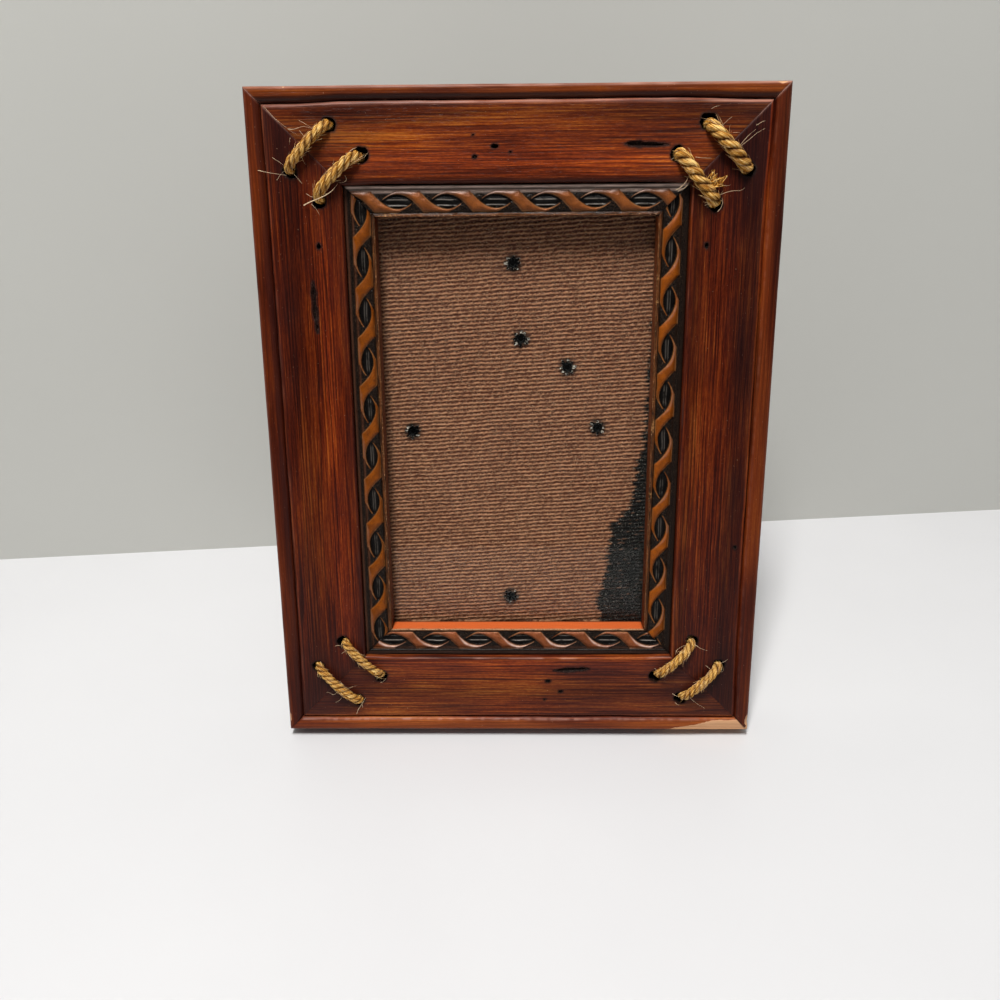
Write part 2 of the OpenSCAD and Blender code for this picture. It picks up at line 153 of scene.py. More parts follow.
def arc(centre, radius, start, end, count):
    """Points on an arc, as depth and width, from start to end in degrees, where 0 faces the front."""
    angles = np.radians(np.linspace(start, end, count))
    return [(centre[0] - radius * math.cos(a), centre[1] + radius * math.sin(a)) for a in angles]


# Meshes
def lay_mesh(name, points, faces, corner_uv=None, sharp=35, masks=None):
    """A mesh object in the frame's own axes, from points in millimetres."""
    mesh = bpy.data.meshes.new(name)
    mesh.from_pydata((np.asarray(points) * MM).tolist(), [], faces)
    if corner_uv is not None:
        layer = mesh.uv_layers.new(name="OFBake")
        layer.data.foreach_set("uv", np.asarray(corner_uv, np.float32).ravel())
    for mask, values in (masks or {}).items():
        add_mask(mesh, mask, values)
    return stand_up(mesh, sharp)


def add_mask(mesh, name, values):
    """Keeps a number, or three, for each point, where the materials find it by name."""
    values = np.asarray(values, np.float32)
    kind, field = ("FLOAT", "value") if values.ndim == 1 else ("FLOAT_VECTOR", "vector")
    mesh.attributes.new(name, kind, "POINT").data.foreach_set(field, values.ravel())


def stand_up(mesh, sharp):
    """Leans a mesh made in the frame's own axes, and keeps those places as own, in millimetres."""
    own = np.zeros(len(mesh.vertices) * 3, np.float32)
    mesh.vertices.foreach_get("co", own)
    add_mask(mesh, "own", own.reshape(-1, 3) / MM)
    mesh.polygons.foreach_set("use_smooth", np.ones(len(mesh.polygons), bool))
    mesh.update()
    mesh.transform(LEAN)
    mesh.set_sharp_from_angle(angle=math.radians(sharp))
    return add_object(mesh.name, mesh)


def fit(piece, body, slot, material, *replaced):
    piece.data.materials.append(material)
    if replaced:
        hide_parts(*replaced)
    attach(piece, body)


# Material nodes
def linear(value):
    """Linear brightness of a screen value from 0 to 255."""
    return ((value / 255 + 0.055) / 1.055) ** 2.4 if value > 10 else value / 3294.6


def rgb(red, green, blue):
    """Linear colour from 0 to 255 screen values."""
    return (linear(red), linear(green), linear(blue), 1)


class Paint:
    """Writes one material's nodes. Calls give back sockets, but surface and out give the material."""

    def __init__(self, name, cad=False):
        self.material = bpy.data.materials.new(name)
        self.material.use_nodes = True
        self.tree = self.material.node_tree
        self.tree.nodes.clear()
        # CAD nodes have their own places in metres, and the other pieces keep theirs in millimetres.
        self.unit = MM if cad else 1.0
        self.place = self.node("TexCoord", out=3) if cad else self.vector("own")

    def node(self, kind, inputs=None, out=0, **settings):
        made = self.tree.nodes.new("ShaderNode" + kind)
        for key, value in settings.items():
            setattr(made, key, value)
        for key, value in (inputs or {}).items():
            if isinstance(value, bpy.types.NodeSocket):
                self.tree.links.new(value, made.inputs[key])
            else:
                made.inputs[key].default_value = value
        return made.outputs[out]

    def mask(self, name):
        return self.node("Attribute", out=2, attribute_name=name)

    def vector(self, name):
        return self.node("Attribute", out=1, attribute_name=name)

    def math(self, operation, a, b=0.0, clamp=False):
        return self.node("Math", {0: a, 1: b}, operation=operation, use_clamp=clamp)

    def times(self, a, b):
        return self.math("MULTIPLY", a, b)

    def most(self, a, b):
        return self.math("MAXIMUM", a, b)

    def plus(self, a, b, clamp=False):
        return self.math("ADD", a, b, clamp)

    def weigh(self, *parts):
        """The sum of some values, each times its weight."""
        total = self.times(*parts[0])
        for part in parts[1:]:
            total = self.plus(total, self.times(*part))
        return total

    def centred(self, noise, amount):
        """Noise that goes as far below 0 as above it."""
        return self.times(self.math("SUBTRACT", noise, 0.5), amount)

    def mix(self, amount, a, b, blend="MIX"):
        return self.node("Mix", {0: amount, 6: a, 7: b}, out=2, data_type="RGBA", blend_type=blend)

    def step(self, value, low, high, to_low=0.0, to_high=1.0):
        inputs = {"Value": value, "From Min": low, "From Max": high, "To Min": to_low, "To Max": to_high}
        return self.node("MapRange", inputs, interpolation_type="SMOOTHSTEP")

    def ramp(self, value, *stops):
        """Colours at places from 0 to 1."""
        made = self.tree.nodes.new("ShaderNodeValToRGB")
        self.tree.links.new(value, made.inputs[0])
        steps = made.color_ramp.elements
        while len(steps) < len(stops):
            steps.new(0.5)
        for step, (place, colour) in zip(steps, stops):
            step.position = place
            step.color = colour
        return made.outputs[0]

    def noise(self, vector, detail=3.0, rough=0.5, twist=0.0):
        inputs = {"Vector": vector, "Scale": 1.0, "Detail": detail, "Roughness": rough, "Distortion": twist}
        return self.node("TexNoise", inputs)

    def stretch(self, x, y, z, shift=(0, 0, 0)):
        """The surface's own place in millimetres, divided by a size for each axis."""
        scale = (1 / self.unit / x, 1 / self.unit / y, 1 / self.unit / z)
        return self.node("Mapping", {"Vector": self.place, "Location": shift, "Scale": scale})

    def cloud(self, size, detail=3.0, rough=0.5, shift=(0, 0, 0)):
        """Noise of one size every way."""
        return self.noise(self.stretch(size, size, size, shift), detail, rough)

    def bump(self, height, depth_mm, strength=1.0):
        inputs = {"Strength": strength, "Distance": depth_mm * MM, "Height": height}
        return self.node("Bump", inputs)

    def surface(self, **inputs):
        """The Principled shader; names have underscores for spaces."""
        named = {key.replace("_", " "): value for key, value in inputs.items()}
        return self.out(self.node("BsdfPrincipled", named))

    def out(self, shader):
        output = self.tree.nodes.new("ShaderNodeOutputMaterial")
        self.tree.links.new(shader, output.inputs["Surface"])
        return self.material


class Wood(Paint):
    """Stained softwood: growth lines along the bar, fine fibres, dark edges, wear, chips and char, with
    painted light and shade.
    """

    def __init__(self, side, seed):
        super().__init__("stained_wood_" + side)
        self.upright = side in UPRIGHTS
        self.seed = seed
        self.line = self.growth_lines()
        self.broad = self.grain(8.5, 60, 0, 2.0)
        self.streak = self.grain(0.62, 48, 0, 3.0, 0.62, 0.3)
        self.fine = self.grain(0.30, 13, 5, 3.0, 0.65)
        self.blotch = self.grain(9, 22, 23, 3.0, 0.6)
        self.speck = self.cloud(0.5, 2.0, 0.6)

    def grain(self, across, along, shift, detail, rough=0.5, twist=0.0):
        """Noise drawn out along the bar."""
        sizes = (across, across, along) if self.upright else (along, across, across)
        places = [self.seed * each + shift for each in (3.7, 1.3, 2.1)]
        return self.noise(self.stretch(*sizes, shift=places), detail, rough, twist)

    def growth_lines(self):
        """A sawtooth across the bar, bent slowly along it, dark towards each ring's end."""
        across = self.node("SeparateXYZ", {0: self.place}, out=0 if self.upright else 2)
        warp = self.grain(5.5, 150, 3, 2.0)
        waver = self.grain(1.3, 50, 7, 2.0)
        ring = self.math("FRACT", self.weigh((across, 0.82), (warp, 4.6), (waver, 1.2)))
        late = self.times(self.step(ring, 0.35, 0.82), self.step(ring, 1.0, 0.88))
        varied = self.step(self.grain(2.4, 55, 13, 2.0), 0.36, 0.66, 0.25, 1.0)
        return self.times(late, varied)

    def figured(self):
        """Colour of the face where nothing darkens or wears it."""
        fleck = self.grain(0.34, 1.6, 29, 2.0, 0.6)
        colour = self.ramp(
            self.weigh((self.streak, 0.36), (self.broad, 0.34), (self.fine, 0.42), (fleck, 0.16)),
            (0.51, rgb(60, 17, 7)),
            (0.61, rgb(104, 36, 12)),
            (0.69, rgb(142, 59, 17)),
            (0.79, rgb(188, 100, 36)),
        )
        return self.mix(self.times(self.line, 0.84), colour, rgb(40, 10, 6))

    def stained_and_shaded(self, colour, shade, gathered):
        """The bead took more red; stain and painted shade darken edges, corners, the groove and its
        shoulder; the lit mask paints light and shade.
        """
        red = self.mix(self.step(self.broad, 0.35, 0.65), rgb(76, 28, 12), rgb(140, 64, 22))
        red = self.mix(self.times(self.fine, 0.5), red, rgb(60, 20, 10))
        colour = self.mix(self.times(self.mask("bead"), 0.6), colour, red)
        dark = self.plus(self.mask("dark"), self.centred(self.blotch, 0.7), True)
        colour = self.mix(self.times(dark, 0.86), colour, self.mix(self.fine, *gathered))
        colour = self.mix(1.0, colour, (*shade, 1), "MULTIPLY")
        # Painted light and shade from the lit mask
        return self.mix(1.0, colour, self.plus(1.0, self.times(self.mask("lit"), 0.5)), "MULTIPLY")

    def rubbed(self, colour):
        """Rubbed arrises and painted highlights on the edges are pale and a little pink, and the back was
        only wiped with stain.
        """
        patchy = self.step(self.weigh((self.streak, 0.5), (self.fine, 0.5)), 0.36, 0.58, 0.45, 1.0)
        pale = self.mix(self.streak, rgb(150, 92, 76), rgb(196, 150, 132))
        # Rubbed wear and painted highlights on the edges
        colour = self.mix(self.times(self.mask("rub_and_highlight"), patchy), colour, pale)
        raw = self.mix(self.streak, rgb(112, 70, 42), rgb(158, 112, 72))
        raw = self.mix(self.times(self.line, 0.5), raw, rgb(84, 48, 28))
        return self.mix(self.times(self.mask("behind"), 0.8), colour, raw)

    def broken(self, colour, chip, char_and_hole_shade):
        """Chips show bare wood, dust lies in rubbed flecks, and holes are charred and painted dark with
        shade.
        """
        colour = self.mix(chip, colour, self.mix(self.streak, rgb(174, 121, 83), rgb(220, 174, 134)))
        dust = self.step(self.cloud(0.38, 1.0, shift=(9, 9, 9)), 0.77, 0.82)
        colour = self.mix(self.times(dust, 0.5), colour, rgb(206, 160, 128))
        char_and_shade_colour = self.mix(self.step(self.speck, 0.5, 0.7), rgb(7, 5, 4), rgb(50, 38, 33))
        return self.mix(char_and_hole_shade, colour, char_and_shade_colour)

    def finished(self, shade, gathered):
        # The stain creeps into the chips.
        chip = self.step(self.plus(self.mask("chip"), self.centred(self.speck, 0.6)), 0.35, 0.65)
        char_and_hole_shade = self.mask("char_and_hole_shade")
        colour = self.rubbed(self.stained_and_shaded(self.figured(), shade, gathered))
        rough = self.step(self.weigh((self.fine, 0.5), (self.blotch, 0.5)), 0.3, 0.7, 0.30, 0.44)
        dull = self.most(self.most(chip, char_and_hole_shade), self.mask("behind"))
        pore = self.step(self.grain(0.20, 3.0, 17, 1.0), 0.6, 0.75)
        height = self.weigh((self.streak, 0.55), (self.fine, 0.35), (self.line, -0.30), (pore, -0.2))
        return self.surface(
            Base_Color=self.broken(colour, chip, char_and_hole_shade), Normal=self.bump(height, 0.13, strength=0.8),
            Roughness=self.plus(rough, self.times(dull, 0.35), True), IOR=1.46, Specular_IOR_Level=0.16,
        )


# Mitred bars: a grid of stations along the bar by the lines of its section
class Bar:
    """One side of the frame. s runs along it clockwise as seen, w inward from its outer edge, d back."""

    # Where s runs and where outward is, as x and z, then the bar's length and the frame's size across it
    AXES = {
        "top": ((1, 0), (0, 1), FRAME_W, FRAME_H),
        "right": ((0, -1), (1, 0), FRAME_H, FRAME_W),
        "bottom": ((-1, 0), (0, -1), FRAME_W, FRAME_H),
        "left": ((0, 1), (-1, 0), FRAME_H, FRAME_W),
    }
    # How far the last but one station is from the mitre, and the least gap between them before that
    MITRE_STEP = 0.22
    MITRE_LEAST = 0.15
    # The field's value on the first ring of spots inside the rim of a cut
    LIP = -0.12
    # Shares of the UV map: along the bar, then where the mitre faces lie and how wide they are there
    UV_ALONG = 0.94
    UV_ENDS = 0.95
    UV_END_D = 0.048
    UV_END_W = 0.45

    def __init__(self, side, seed, profile, step):
        self.side = side
        self.seed = seed
        self.along, self.outward, self.length, span = self.AXES[side]
        self.half = span / 2
        section = np.array(profile)
        self.depth, self.width = section.T
        self.lines = np.arange(len(section))
        count = int(self.length / 2 / step) + 1
        stations = np.arange(-count, count + 1) * step
        self.s = np.repeat(stations[:, None], len(section), 1)
        self.d = np.repeat(section[None, :, 0], len(stations), 0)
        self.w = np.repeat(section[None, :, 1], len(stations), 0)
        self.limit = self.length / 2 - section[:, 1]
        self.first = np.array([np.argmax(stations > -r + self.MITRE_LEAST) - 1 for r in self.limit])
        self.last = len(stations) - 1 - self.first
        self.s[self.first, self.lines] = -self.limit
        self.s[self.first + 1, self.lines] = self.MITRE_STEP - self.limit
        self.s[self.last, self.lines] = self.limit
        self.s[self.last - 1, self.lines] = self.limit - self.MITRE_STEP
        self.to_mitre = self.limit[None, :] - np.abs(self.s)
        self.masks = {}

    def x(self):
        return self.along[0] * self.s + self.outward[0] * (self.half - self.w)

    def z(self):
        return self.along[1] * self.s + self.outward[1] * (self.half - self.w)

    def spot(self, x, z):
        """A place on the frame's face in this side's s and w."""
        s = x * self.along[0] + z * self.along[1]
        return s, self.half - (x * self.outward[0] + z * self.outward[1])

    def mask(self, name):
        return self.masks.setdefault(name, np.zeros_like(self.s))

    def cut(self, field, wall, deep, slope, lines, soft=0.5, char_and_hole_shade=1.0):
        """Sinks the surface where field is below 0, with a crisp rim on field = 0."""
        inside = (field(self.s, self.w) < 0) & lines
        if not inside.any():
            return
        rim = widened(inside) & ~inside & lines
        lip = inside & widened(~inside)
        self.pull(field, rim, 0.0)
        self.pull(field, lip, self.LIP)
        value = field(self.s, self.w)
        sink = np.where(lip, wall, np.minimum(deep, wall + slope * np.maximum(-value, 0)))
        self.d += np.where(inside, sink, 0)
        # The cut is painted dark inside, as char and painted shade, fading out past its rim.
        dark_rim = fade(value, soft) * char_and_hole_shade * lines
        self.masks["char_and_hole_shade"] = np.maximum(self.mask("char_and_hole_shade"), np.where(inside, char_and_hole_shade, dark_rim * 0.85))

    def pull(self, field, ring, target):
        """Moves a ring of spots over the surface until the field there has the target value."""
        for _ in range(3):
            s, w = self.s[ring], self.w[ring]
            off = field(s, w) - target
            slope_s = (field(s + 0.01, w) - field(s - 0.01, w)) / 0.02
            slope_w = (field(s, w + 0.01) - field(s, w - 0.01)) / 0.02
            size = np.maximum(slope_s * slope_s + slope_w * slope_w, 0.2)
            self.s[ring] = s - off * slope_s / size
            self.w[ring] = w - off * slope_w / size

    def ease_mitres(self, groove):
        """A shallow groove along the mitres, where the arrises were eased."""
        run = np.roll((self.depth, self.width), -1, 1) - np.roll((self.depth, self.width), 1, 1)
        normal = np.array((-run[1], run[0])) / np.maximum(np.hypot(*run), 1e-9)
        for end in (self.first, self.last):
            self.d[end, self.lines] -= normal[0] * groove
            self.w[end, self.lines] -= normal[1] * groove

    def long_faces(self, ids, rows):
        """Faces along the bar, without corners that fall together, and their UV places."""
        across = np.stack([self.depth, self.width])
        across = np.hypot(*(np.roll(across, -1, 1) - across))
        across = np.concatenate([[0], np.cumsum(across)]) / across.sum()
        along = np.take_along_axis(self.UV_ALONG * (self.s / self.length + 0.5), rows, 0)
        low, high = across[:-1], across[1:]
        corner_v = np.tile(np.stack([low, low, high, high], 1), (len(ids) - 1, 1))
        faces, uv = [], []
        for face, us, vs in zip(around(ids).tolist(), around(along).tolist(), corner_v.tolist()):
            kept = [k for k in range(4) if face[k] != face[k - 1]]
            if len(kept) > 2:
                faces.append([face[k] for k in kept])
                uv.extend((us[k], vs[k]) for k in kept)
        return faces, uv

    def mitre_faces(self):
        """The two cut ends and their UV places."""
        faces, uv = [], []
        for end, base, order in ((self.first, 0.0, 1), (self.last, 0.5, -1)):
            ring = (end * len(self.lines) + self.lines)[::order].tolist()
            faces.append(ring)
            for spot in ring:
                u = self.UV_ENDS + self.UV_END_D * self.d.flat[spot] / 20
                uv.append((u, base + self.UV_END_W * self.w.flat[spot] / 40))
        return faces, uv

    def build(self, name, groove):
        """The bar as a closed mesh."""
        self.ease_mitres(groove)
        # Stations past a line's mitre fall together with its last one.
        rows = np.clip(np.arange(len(self.s))[:, None], self.first[None, :], self.last[None, :])
        ids = rows * len(self.lines) + self.lines[None, :]
        faces, uv = self.long_faces(ids, rows)
        end_faces, end_uv = self.mitre_faces()
        faces += end_faces
        uv += end_uv
        used = np.unique(ids)
        fresh = dict(zip(used.tolist(), range(len(used))))
        faces = [[fresh[k] for k in face] for face in faces]
        points = np.stack([self.x(), self.d, self.z()], -1).reshape(-1, 3)[used]
        masks = {key: value.ravel()[used] for key, value in self.masks.items()}
        if inside_out(points, faces):
            faces, uv = flipped(faces, uv)
        return lay_mesh(name, points, faces, uv, 38, masks)


def around(grid):
    """The four corners of each cell of a grid whose second way is closed."""
    after = np.roll(grid, -1, 1)
    return np.stack([grid[:-1], grid[1:], after[1:], after[:-1]], -1).reshape(-1, 4)


def tube_faces(ids):
    """Faces round a tube, from the numbers of its points, one row for each ring."""
    after = np.roll(ids, -1, 1)
    return np.stack([ids[:-1], after[:-1], after[1:], ids[1:]], -1).reshape(-1, 4).tolist()


def inside_out(points, faces):
    """Whether the faces of a closed surface look inward."""
    corners = np.array([face[:3] for face in faces if len(face) <= 4])
    a, b, c = (points[corners[:, k]] for k in range(3))
    return np.einsum("ij,ij->", a, np.cross(b, c)) < 0


def flipped(faces, uv):
    """The faces turned over, with the UV places of their corners."""
    turned, at = [], 0
    for face in faces:
        turned.extend(uv[at:at + len(face)][::-1])
        at += len(face)
    return [face[::-1] for face in faces], turned


# Rails: stained softwood with a bead, holed for the ropes and worn

# Each stitch: its end and its hole in the upright, then its end and its hole in the cross rail.
# An end is x, z and a hole is x, z, radius. The ropes lie against the sides of their holes.
STITCHES = {
    "top_left_outer": ((-69.7, 84.0), (-69.6, 83.7, 2.2), (-57.4, 97.0), (-56.9, 97.0, 2.2)),
    "top_left_inner": ((-61.0, 75.6), (-61.2, 74.8, 2.3), (-48.8, 87.7), (-47.6, 88.2, 2.4)),
    "top_right_outer": ((70.4, 83.5), (71.0, 82.9, 2.15), (58.7, 95.9), (58.2, 96.8, 2.6)),
    "top_right_inner": ((61.0, 73.8), (61.4, 73.0, 2.25), (49.9, 87.4), (49.3, 87.6, 2.4)),
    "bottom_left_outer": ((-70.6, -83.1), (-70.9, -83.0, 2.05), (-56.8, -96.3), (-57.0, -96.3, 2.05)),
    "bottom_left_inner": ((-60.7, -73.9), (-61.5, -73.8, 2.15), (-48.7, -86.1), (-48.5, -86.8, 2.2)),
    "bottom_right_outer": ((70.6, -82.8), (71.0, -82.6, 2.1), (58.8, -94.6), (58.0, -95.3, 2.2)),
    "bottom_right_inner": ((60.9, -74.2), (61.2, -73.2, 2.0), (49.8, -86.0), (48.6, -87.0, 2.2)),
}
# Worm holes and pricks: side, x, z, radius
WORM_HOLES = (
    ("top", -6.6, 90.4, 0.85), ("top", -12.7, 87.2, 0.75), ("top", -13.1, 93.6, 0.3),
    ("top", -1.7, 88.6, 0.35), ("left", -62.1, 61.1, 0.85), ("left", -82.0, -57.8, 0.5),
    ("left", -81.4, -92.5, 0.4), ("right", 59.4, 60.5, 0.75), ("right", 74.1, -38.9, 0.7),
    ("bottom", 10.7, -88.9, 0.75), ("bottom", 15.3, -92.9, 0.6), ("bottom", 9.6, -96.0, 0.35),
)
# Gouges: side, one end, other end, widest half-width, place of the widest part, depth
GOUGES = (
    ("top", (33.1, 90.5), (46.6, 90.3), 0.85, 0.35, 1.0),
    ("left", (-64.9, 50.6), (-63.9, 34.0), 0.75, 0.4, 0.9),
    ("bottom", (12.6, -84.9), (25.6, -84.1), 0.75, 0.6, 1.0),
)
# Knocks on the front arris: place along x or z, half-length, size
KNOCKS = {
    "top": (
        (-70.0, 2.6, 0.30), (72.0, 5.0, 0.20), (60.0, 2.0, 0.24), (5.0, 1.5, 0.15), (-32.0, 1.0, 0.12),
        (79.5, 2.5, 0.45),
    ),
    "left": (
        (70.0, 1.8, 0.22), (22.0, 1.2, 0.2), (-20.0, 1.0, 0.16), (-103.0, 2.4, 0.45), (88.0, 0.9, 0.16),
        (45.0, 0.7, 0.14),
    ),
    "right": (
        (96.0, 1.4, 0.2), (33.0, 1.6, 0.24), (-12.0, 1.0, 0.18), (-58.0, 1.3, 0.2), (-104.0, 2.6, 0.8),
        (68.0, 0.8, 0.14),
    ),
    "bottom": ((-30.0, 1.6, 0.2), (-52.0, 1.0, 0.16), (28.0, 1.2, 0.16)),
}
# The long sliver split off the bottom right corner: its height over the foot at some places along x
SPLIT_X = (51.5, 56, 61, 66.5, 70.5, 80)
SPLIT_TOP = (0, 1.2, 1.8, 3.0, 4.0, 4.4)
# Mitre nails: how far in from the outer edge the two of a corner cross the mitre, and how far out they go
V_NAILS = (9.0, 17.0)
V_NAIL_LEG = 4.5

RAIL_PROFILE = (
    [(RAIL_D, 0.25), (RAIL_D - 0.25, 0.0)]
    + [(d, 0.0) for d in np.arange(17.5, 1.4, -1.25)]
    + arc((1.0, 1.0), 1.0, -90, 0, 8)
    + [(0.0, w) for w in (1.3, 1.6, 1.9, 2.2, 2.5)]
    + arc((2.25, 2.6), 2.25, 5, math.degrees(math.acos(1 - QUIRK / 2.25)), 9)
    + [(QUIRK, BEAD_W + 0.06), (QUIRK, BEAD_W + 0.16)]
    + arc((FLAT + 1.0, 6.06), 1.0, -86, 0, 7)
    + [(FLAT, w) for w in np.arange(6.45, 27.75, 0.4)]
    + arc((FLAT + SIGHT_R, RAIL_W - SIGHT_R), SIGHT_R, 0, 90, 9)
    + [(4.2, RAIL_W), (LIP_D, RAIL_W), (LIP_D, REBATE)]
    + [(9.0, REBATE), (14.0, REBATE), (RAIL_D - 0.25, REBATE), (RAIL_D, REBATE - 0.25)]
    + [(RAIL_D, w) for w in (21.5, 19.0, 17.1, 16.9, 14.8, 12.6, 12.4, 10.7, 9.1, 8.9, 6.7, 4.6, 4.4, 2.2)]
)
# Depth plus width half way round the 1 mm front arris
ARRIS = 0.586

# Darkest and lightest colour where stain and painted shade darken the wood, before the rail's shade tints
# it
STAIN_AND_SHADE = (rgb(23, 8, 8), rgb(56, 22, 19))
# How each rail differs:
# groove_in is how far the groove wanders inward at mid length;
# the groove, shoulder, outer and sight stains are how dark it is in the groove (stain and painted shade),
# on the bead's shoulder (painted shade), along the outside of the flat (stain) and along the sight edge
# (painted shade);
# the arris, edge, shoulder and sight rubs are how pale the arris of the flat and the outer edge are, rubbed
# and with painted highlights, and how bright the painted highlights on the bead's shoulder and on the sight
# edge are;
# corner_reach is how far the stain of the corners reaches, at the bar's first and last end, clockwise,
# and corner_stain how dark it is;
# bead_lit is how much painted light lies on the bead, and below 0 how much painted shade;
# bands of the flat are lighter or darker: middle, half-width, how much;
# shade is how far the stain lets red, green and blue through;
# the last is the darkest and lightest colour of stain and painted shade, as above.
RAIL_LOOKS = {
    "top": {
        "groove_in": -0.7, "groove_stain": 1.0, "shoulder_stain": 0.95, "outer_stain": 0.20,
        "sight_stain": 0.95, "arris_rub": 1.0, "edge_rub": 0.9, "shoulder_rub": 0.0, "sight_rub": 0.0,
        "corner_reach": (30.0, 20.0), "corner_stain": 0.62, "bead_lit": -0.3,
        "bands": ((8.0, 3.0, -0.9), (21.5, 3.0, 1.4)),
        "shade": (1.0, 1.12, 0.88), "gathered": STAIN_AND_SHADE,
    },
    "left": {
        "groove_in": 0.4, "groove_stain": 0.85, "shoulder_stain": 0.75, "outer_stain": 0.34,
        "sight_stain": 0.55, "arris_rub": 0.12, "edge_rub": 0.2, "shoulder_rub": 0.0, "sight_rub": 0.05,
        "corner_reach": (13.0, 24.0), "corner_stain": 0.95, "bead_lit": 0.1,
        "bands": ((13.0, 4.0, -0.7), (22.0, 2.5, 0.9)),
        "shade": (0.56, 0.50, 0.44), "gathered": (rgb(33, 14, 13), rgb(76, 36, 34)),
    },
    "right": {
        "groove_in": 0.6, "groove_stain": 0.45, "shoulder_stain": 0.1, "outer_stain": 0.68,
        "sight_stain": 0.3, "arris_rub": 0.05, "edge_rub": 0.15, "shoulder_rub": 0.15, "sight_rub": 0.15,
        "corner_reach": (15.0, 21.0), "corner_stain": 0.9, "bead_lit": 0.0,
        "bands": ((10.5, 4.0, -0.5), (26.0, 2.0, -0.8)),
        "shade": (0.56, 0.54, 0.62), "gathered": (rgb(25, 9, 9), rgb(60, 25, 22)),
    },
    "bottom": {
        "groove_in": 0.1, "groove_stain": 1.0, "shoulder_stain": 0.1, "outer_stain": 0.3,
        "sight_stain": 0.05, "arris_rub": 0.05, "edge_rub": 0.15, "shoulder_rub": 0.75, "sight_rub": 0.8,
        "corner_reach": (38.0, 20.0), "corner_stain": 0.95, "bead_lit": 0.6,
        "bands": ((15.5, 3.5, -0.8), (26.0, 2.6, 1.0)),
        "shade": (0.99, 1.24, 1.46), "gathered": STAIN_AND_SHADE,
    },
}


def rope_holes():
    """Rail, x, z and radius of each rope's holes."""
    for place, (_, upright_hole, _, cross_hole) in STITCHES.items():
        cross, upright, _ = place.split("_")
        yield upright, *upright_hole
        yield cross, *cross_hole


def round_hole(s0, w0, radius, ragged, lobes, seed, squash=(1, 1)):
    """Below 0 inside a roughly round hole: ragged is how uneven its rim is, lobes how finely."""
    def field(s, w):
        angle = np.arctan2(w - w0, s - s0)
        rim = 1 + ragged * drift(angle * lobes + 20, seed[0], seed[1])
        return np.hypot((s - s0) * squash[0], (w - w0) * squash[1]) - radius * rim
    return field


def long_pit(start, end, half_width, peak, seed):
    """Below 0 inside a long gouge, widest at peak from 0 to 1 along it."""
    start, end = np.array(start), np.array(end)
    run = end - start
    length = np.hypot(*run)
    run = run / length

    def field(s, w):
        t = ((s - start[0]) * run[0] + (w - start[1]) * run[1]) / length
        side = (w - start[1]) * run[0] - (s - start[0]) * run[1]
        side = side - 0.3 * drift(t * 2.0 + 3, 0, 80 + seed)
        inner = np.clip(t, 0, 1)
        swell = np.where(inner < peak, inner / peak, (1 - inner) / (1 - peak))
        width = half_width * np.clip(swell * 1.6, 0, 1) ** 0.4
        width = width * (1 + 0.3 * drift(t * 9, 1, 90 + seed))
        beyond = np.maximum(np.maximum(-t, t - 1), 0) * length
        return np.hypot(beyond, side) - width
    return field


